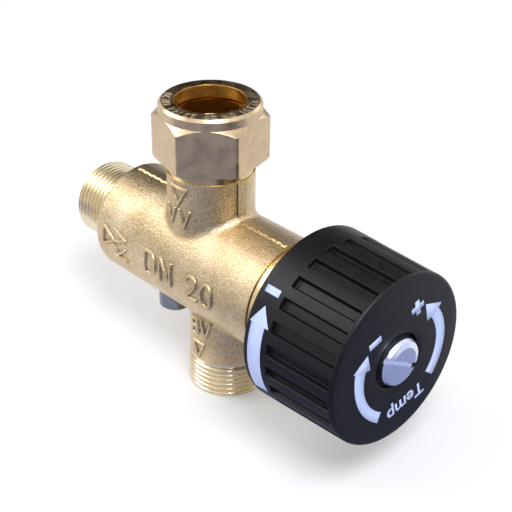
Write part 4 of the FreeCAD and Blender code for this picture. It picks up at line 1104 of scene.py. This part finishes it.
    @staticmethod
    def camera(scene):
        """Looks down at the valve from the knob's side, a little rolled, through a long lens."""
        turn, rise, roll = (math.radians(a) for a in (46.370, 30.893, 0.644))
        back = Vector((math.sin(turn) * math.cos(rise), -math.cos(turn) * math.cos(rise), math.sin(rise)))
        right = Vector((math.cos(turn), math.sin(turn), 0.0))
        up = back.cross(right)
        across = right * math.cos(roll) + up * math.sin(roll)
        above = up * math.cos(roll) - right * math.sin(roll)
        lens = bpy.data.cameras.new("camera")
        lens.lens = 84.07
        lens.sensor_width = 36.0
        lens.clip_start = 0.01
        camera = bpy.data.objects.new("camera", lens)
        scene.collection.objects.link(camera)
        place = Vector((0.24508, -0.22146, 0.24468))
        turned = Matrix((across, above, back)).transposed().to_4x4()
        camera.matrix_world = Matrix.Translation(place) @ turned
        scene.camera = camera


class MIXVALVE_PT_panel(bpy.types.Panel):
    """Lists the valve's pieces and the sizes and colours that can be changed"""
    bl_idname = "MIXVALVE_PT_panel"
    bl_label = "Mixing Valve"
    bl_space_type = "VIEW_3D"
    bl_region_type = "UI"
    bl_category = "Mixing Valve"

    def draw(self, context):
        settings = context.scene.mixing_valve
        for operator in OPERATORS:
            self.layout.operator(operator.bl_idname)
        for group in (settings.forging, settings.threads, settings.knob, settings.stage):
            box = self.layout.box()
            for name in group.bl_rna.properties.keys():
                if name not in ("rna_type", "name"):
                    box.prop(group, name)


OPERATORS = (
    MIXVALVE_OT_finishes,
    MIXVALVE_OT_forging,
    MIXVALVE_OT_threads,
    MIXVALVE_OT_marks,
    MIXVALVE_OT_nut,
    MIXVALVE_OT_knob,
    MIXVALVE_OT_printing,
    MIXVALVE_OT_small_pieces,
    MIXVALVE_OT_stage,
)
CLASSES = (ForgingSettings, ThreadSettings, KnobSettings, StageSettings, ValveSettings, *OPERATORS,
           MIXVALVE_PT_panel)


def register():
    for item in CLASSES:
        bpy.utils.register_class(item)
    bpy.types.Scene.mixing_valve = bpy.props.PointerProperty(
        name="Mixing valve", description="Sizes and colours of the mixing valve", type=ValveSettings)


def unregister():
    del bpy.types.Scene.mixing_valve
    for item in reversed(CLASSES):
        bpy.utils.unregister_class(item)


def main():
    register()
    bpy.ops.mixvalve.finishes()
    bpy.ops.mixvalve.forging()
    bpy.ops.mixvalve.threads()
    bpy.ops.mixvalve.marks()
    bpy.ops.mixvalve.nut()
    bpy.ops.mixvalve.knob()
    bpy.ops.mixvalve.printing()
    bpy.ops.mixvalve.small_pieces()
    bpy.ops.mixvalve.stage()


if __name__ == "__main__":
    main()
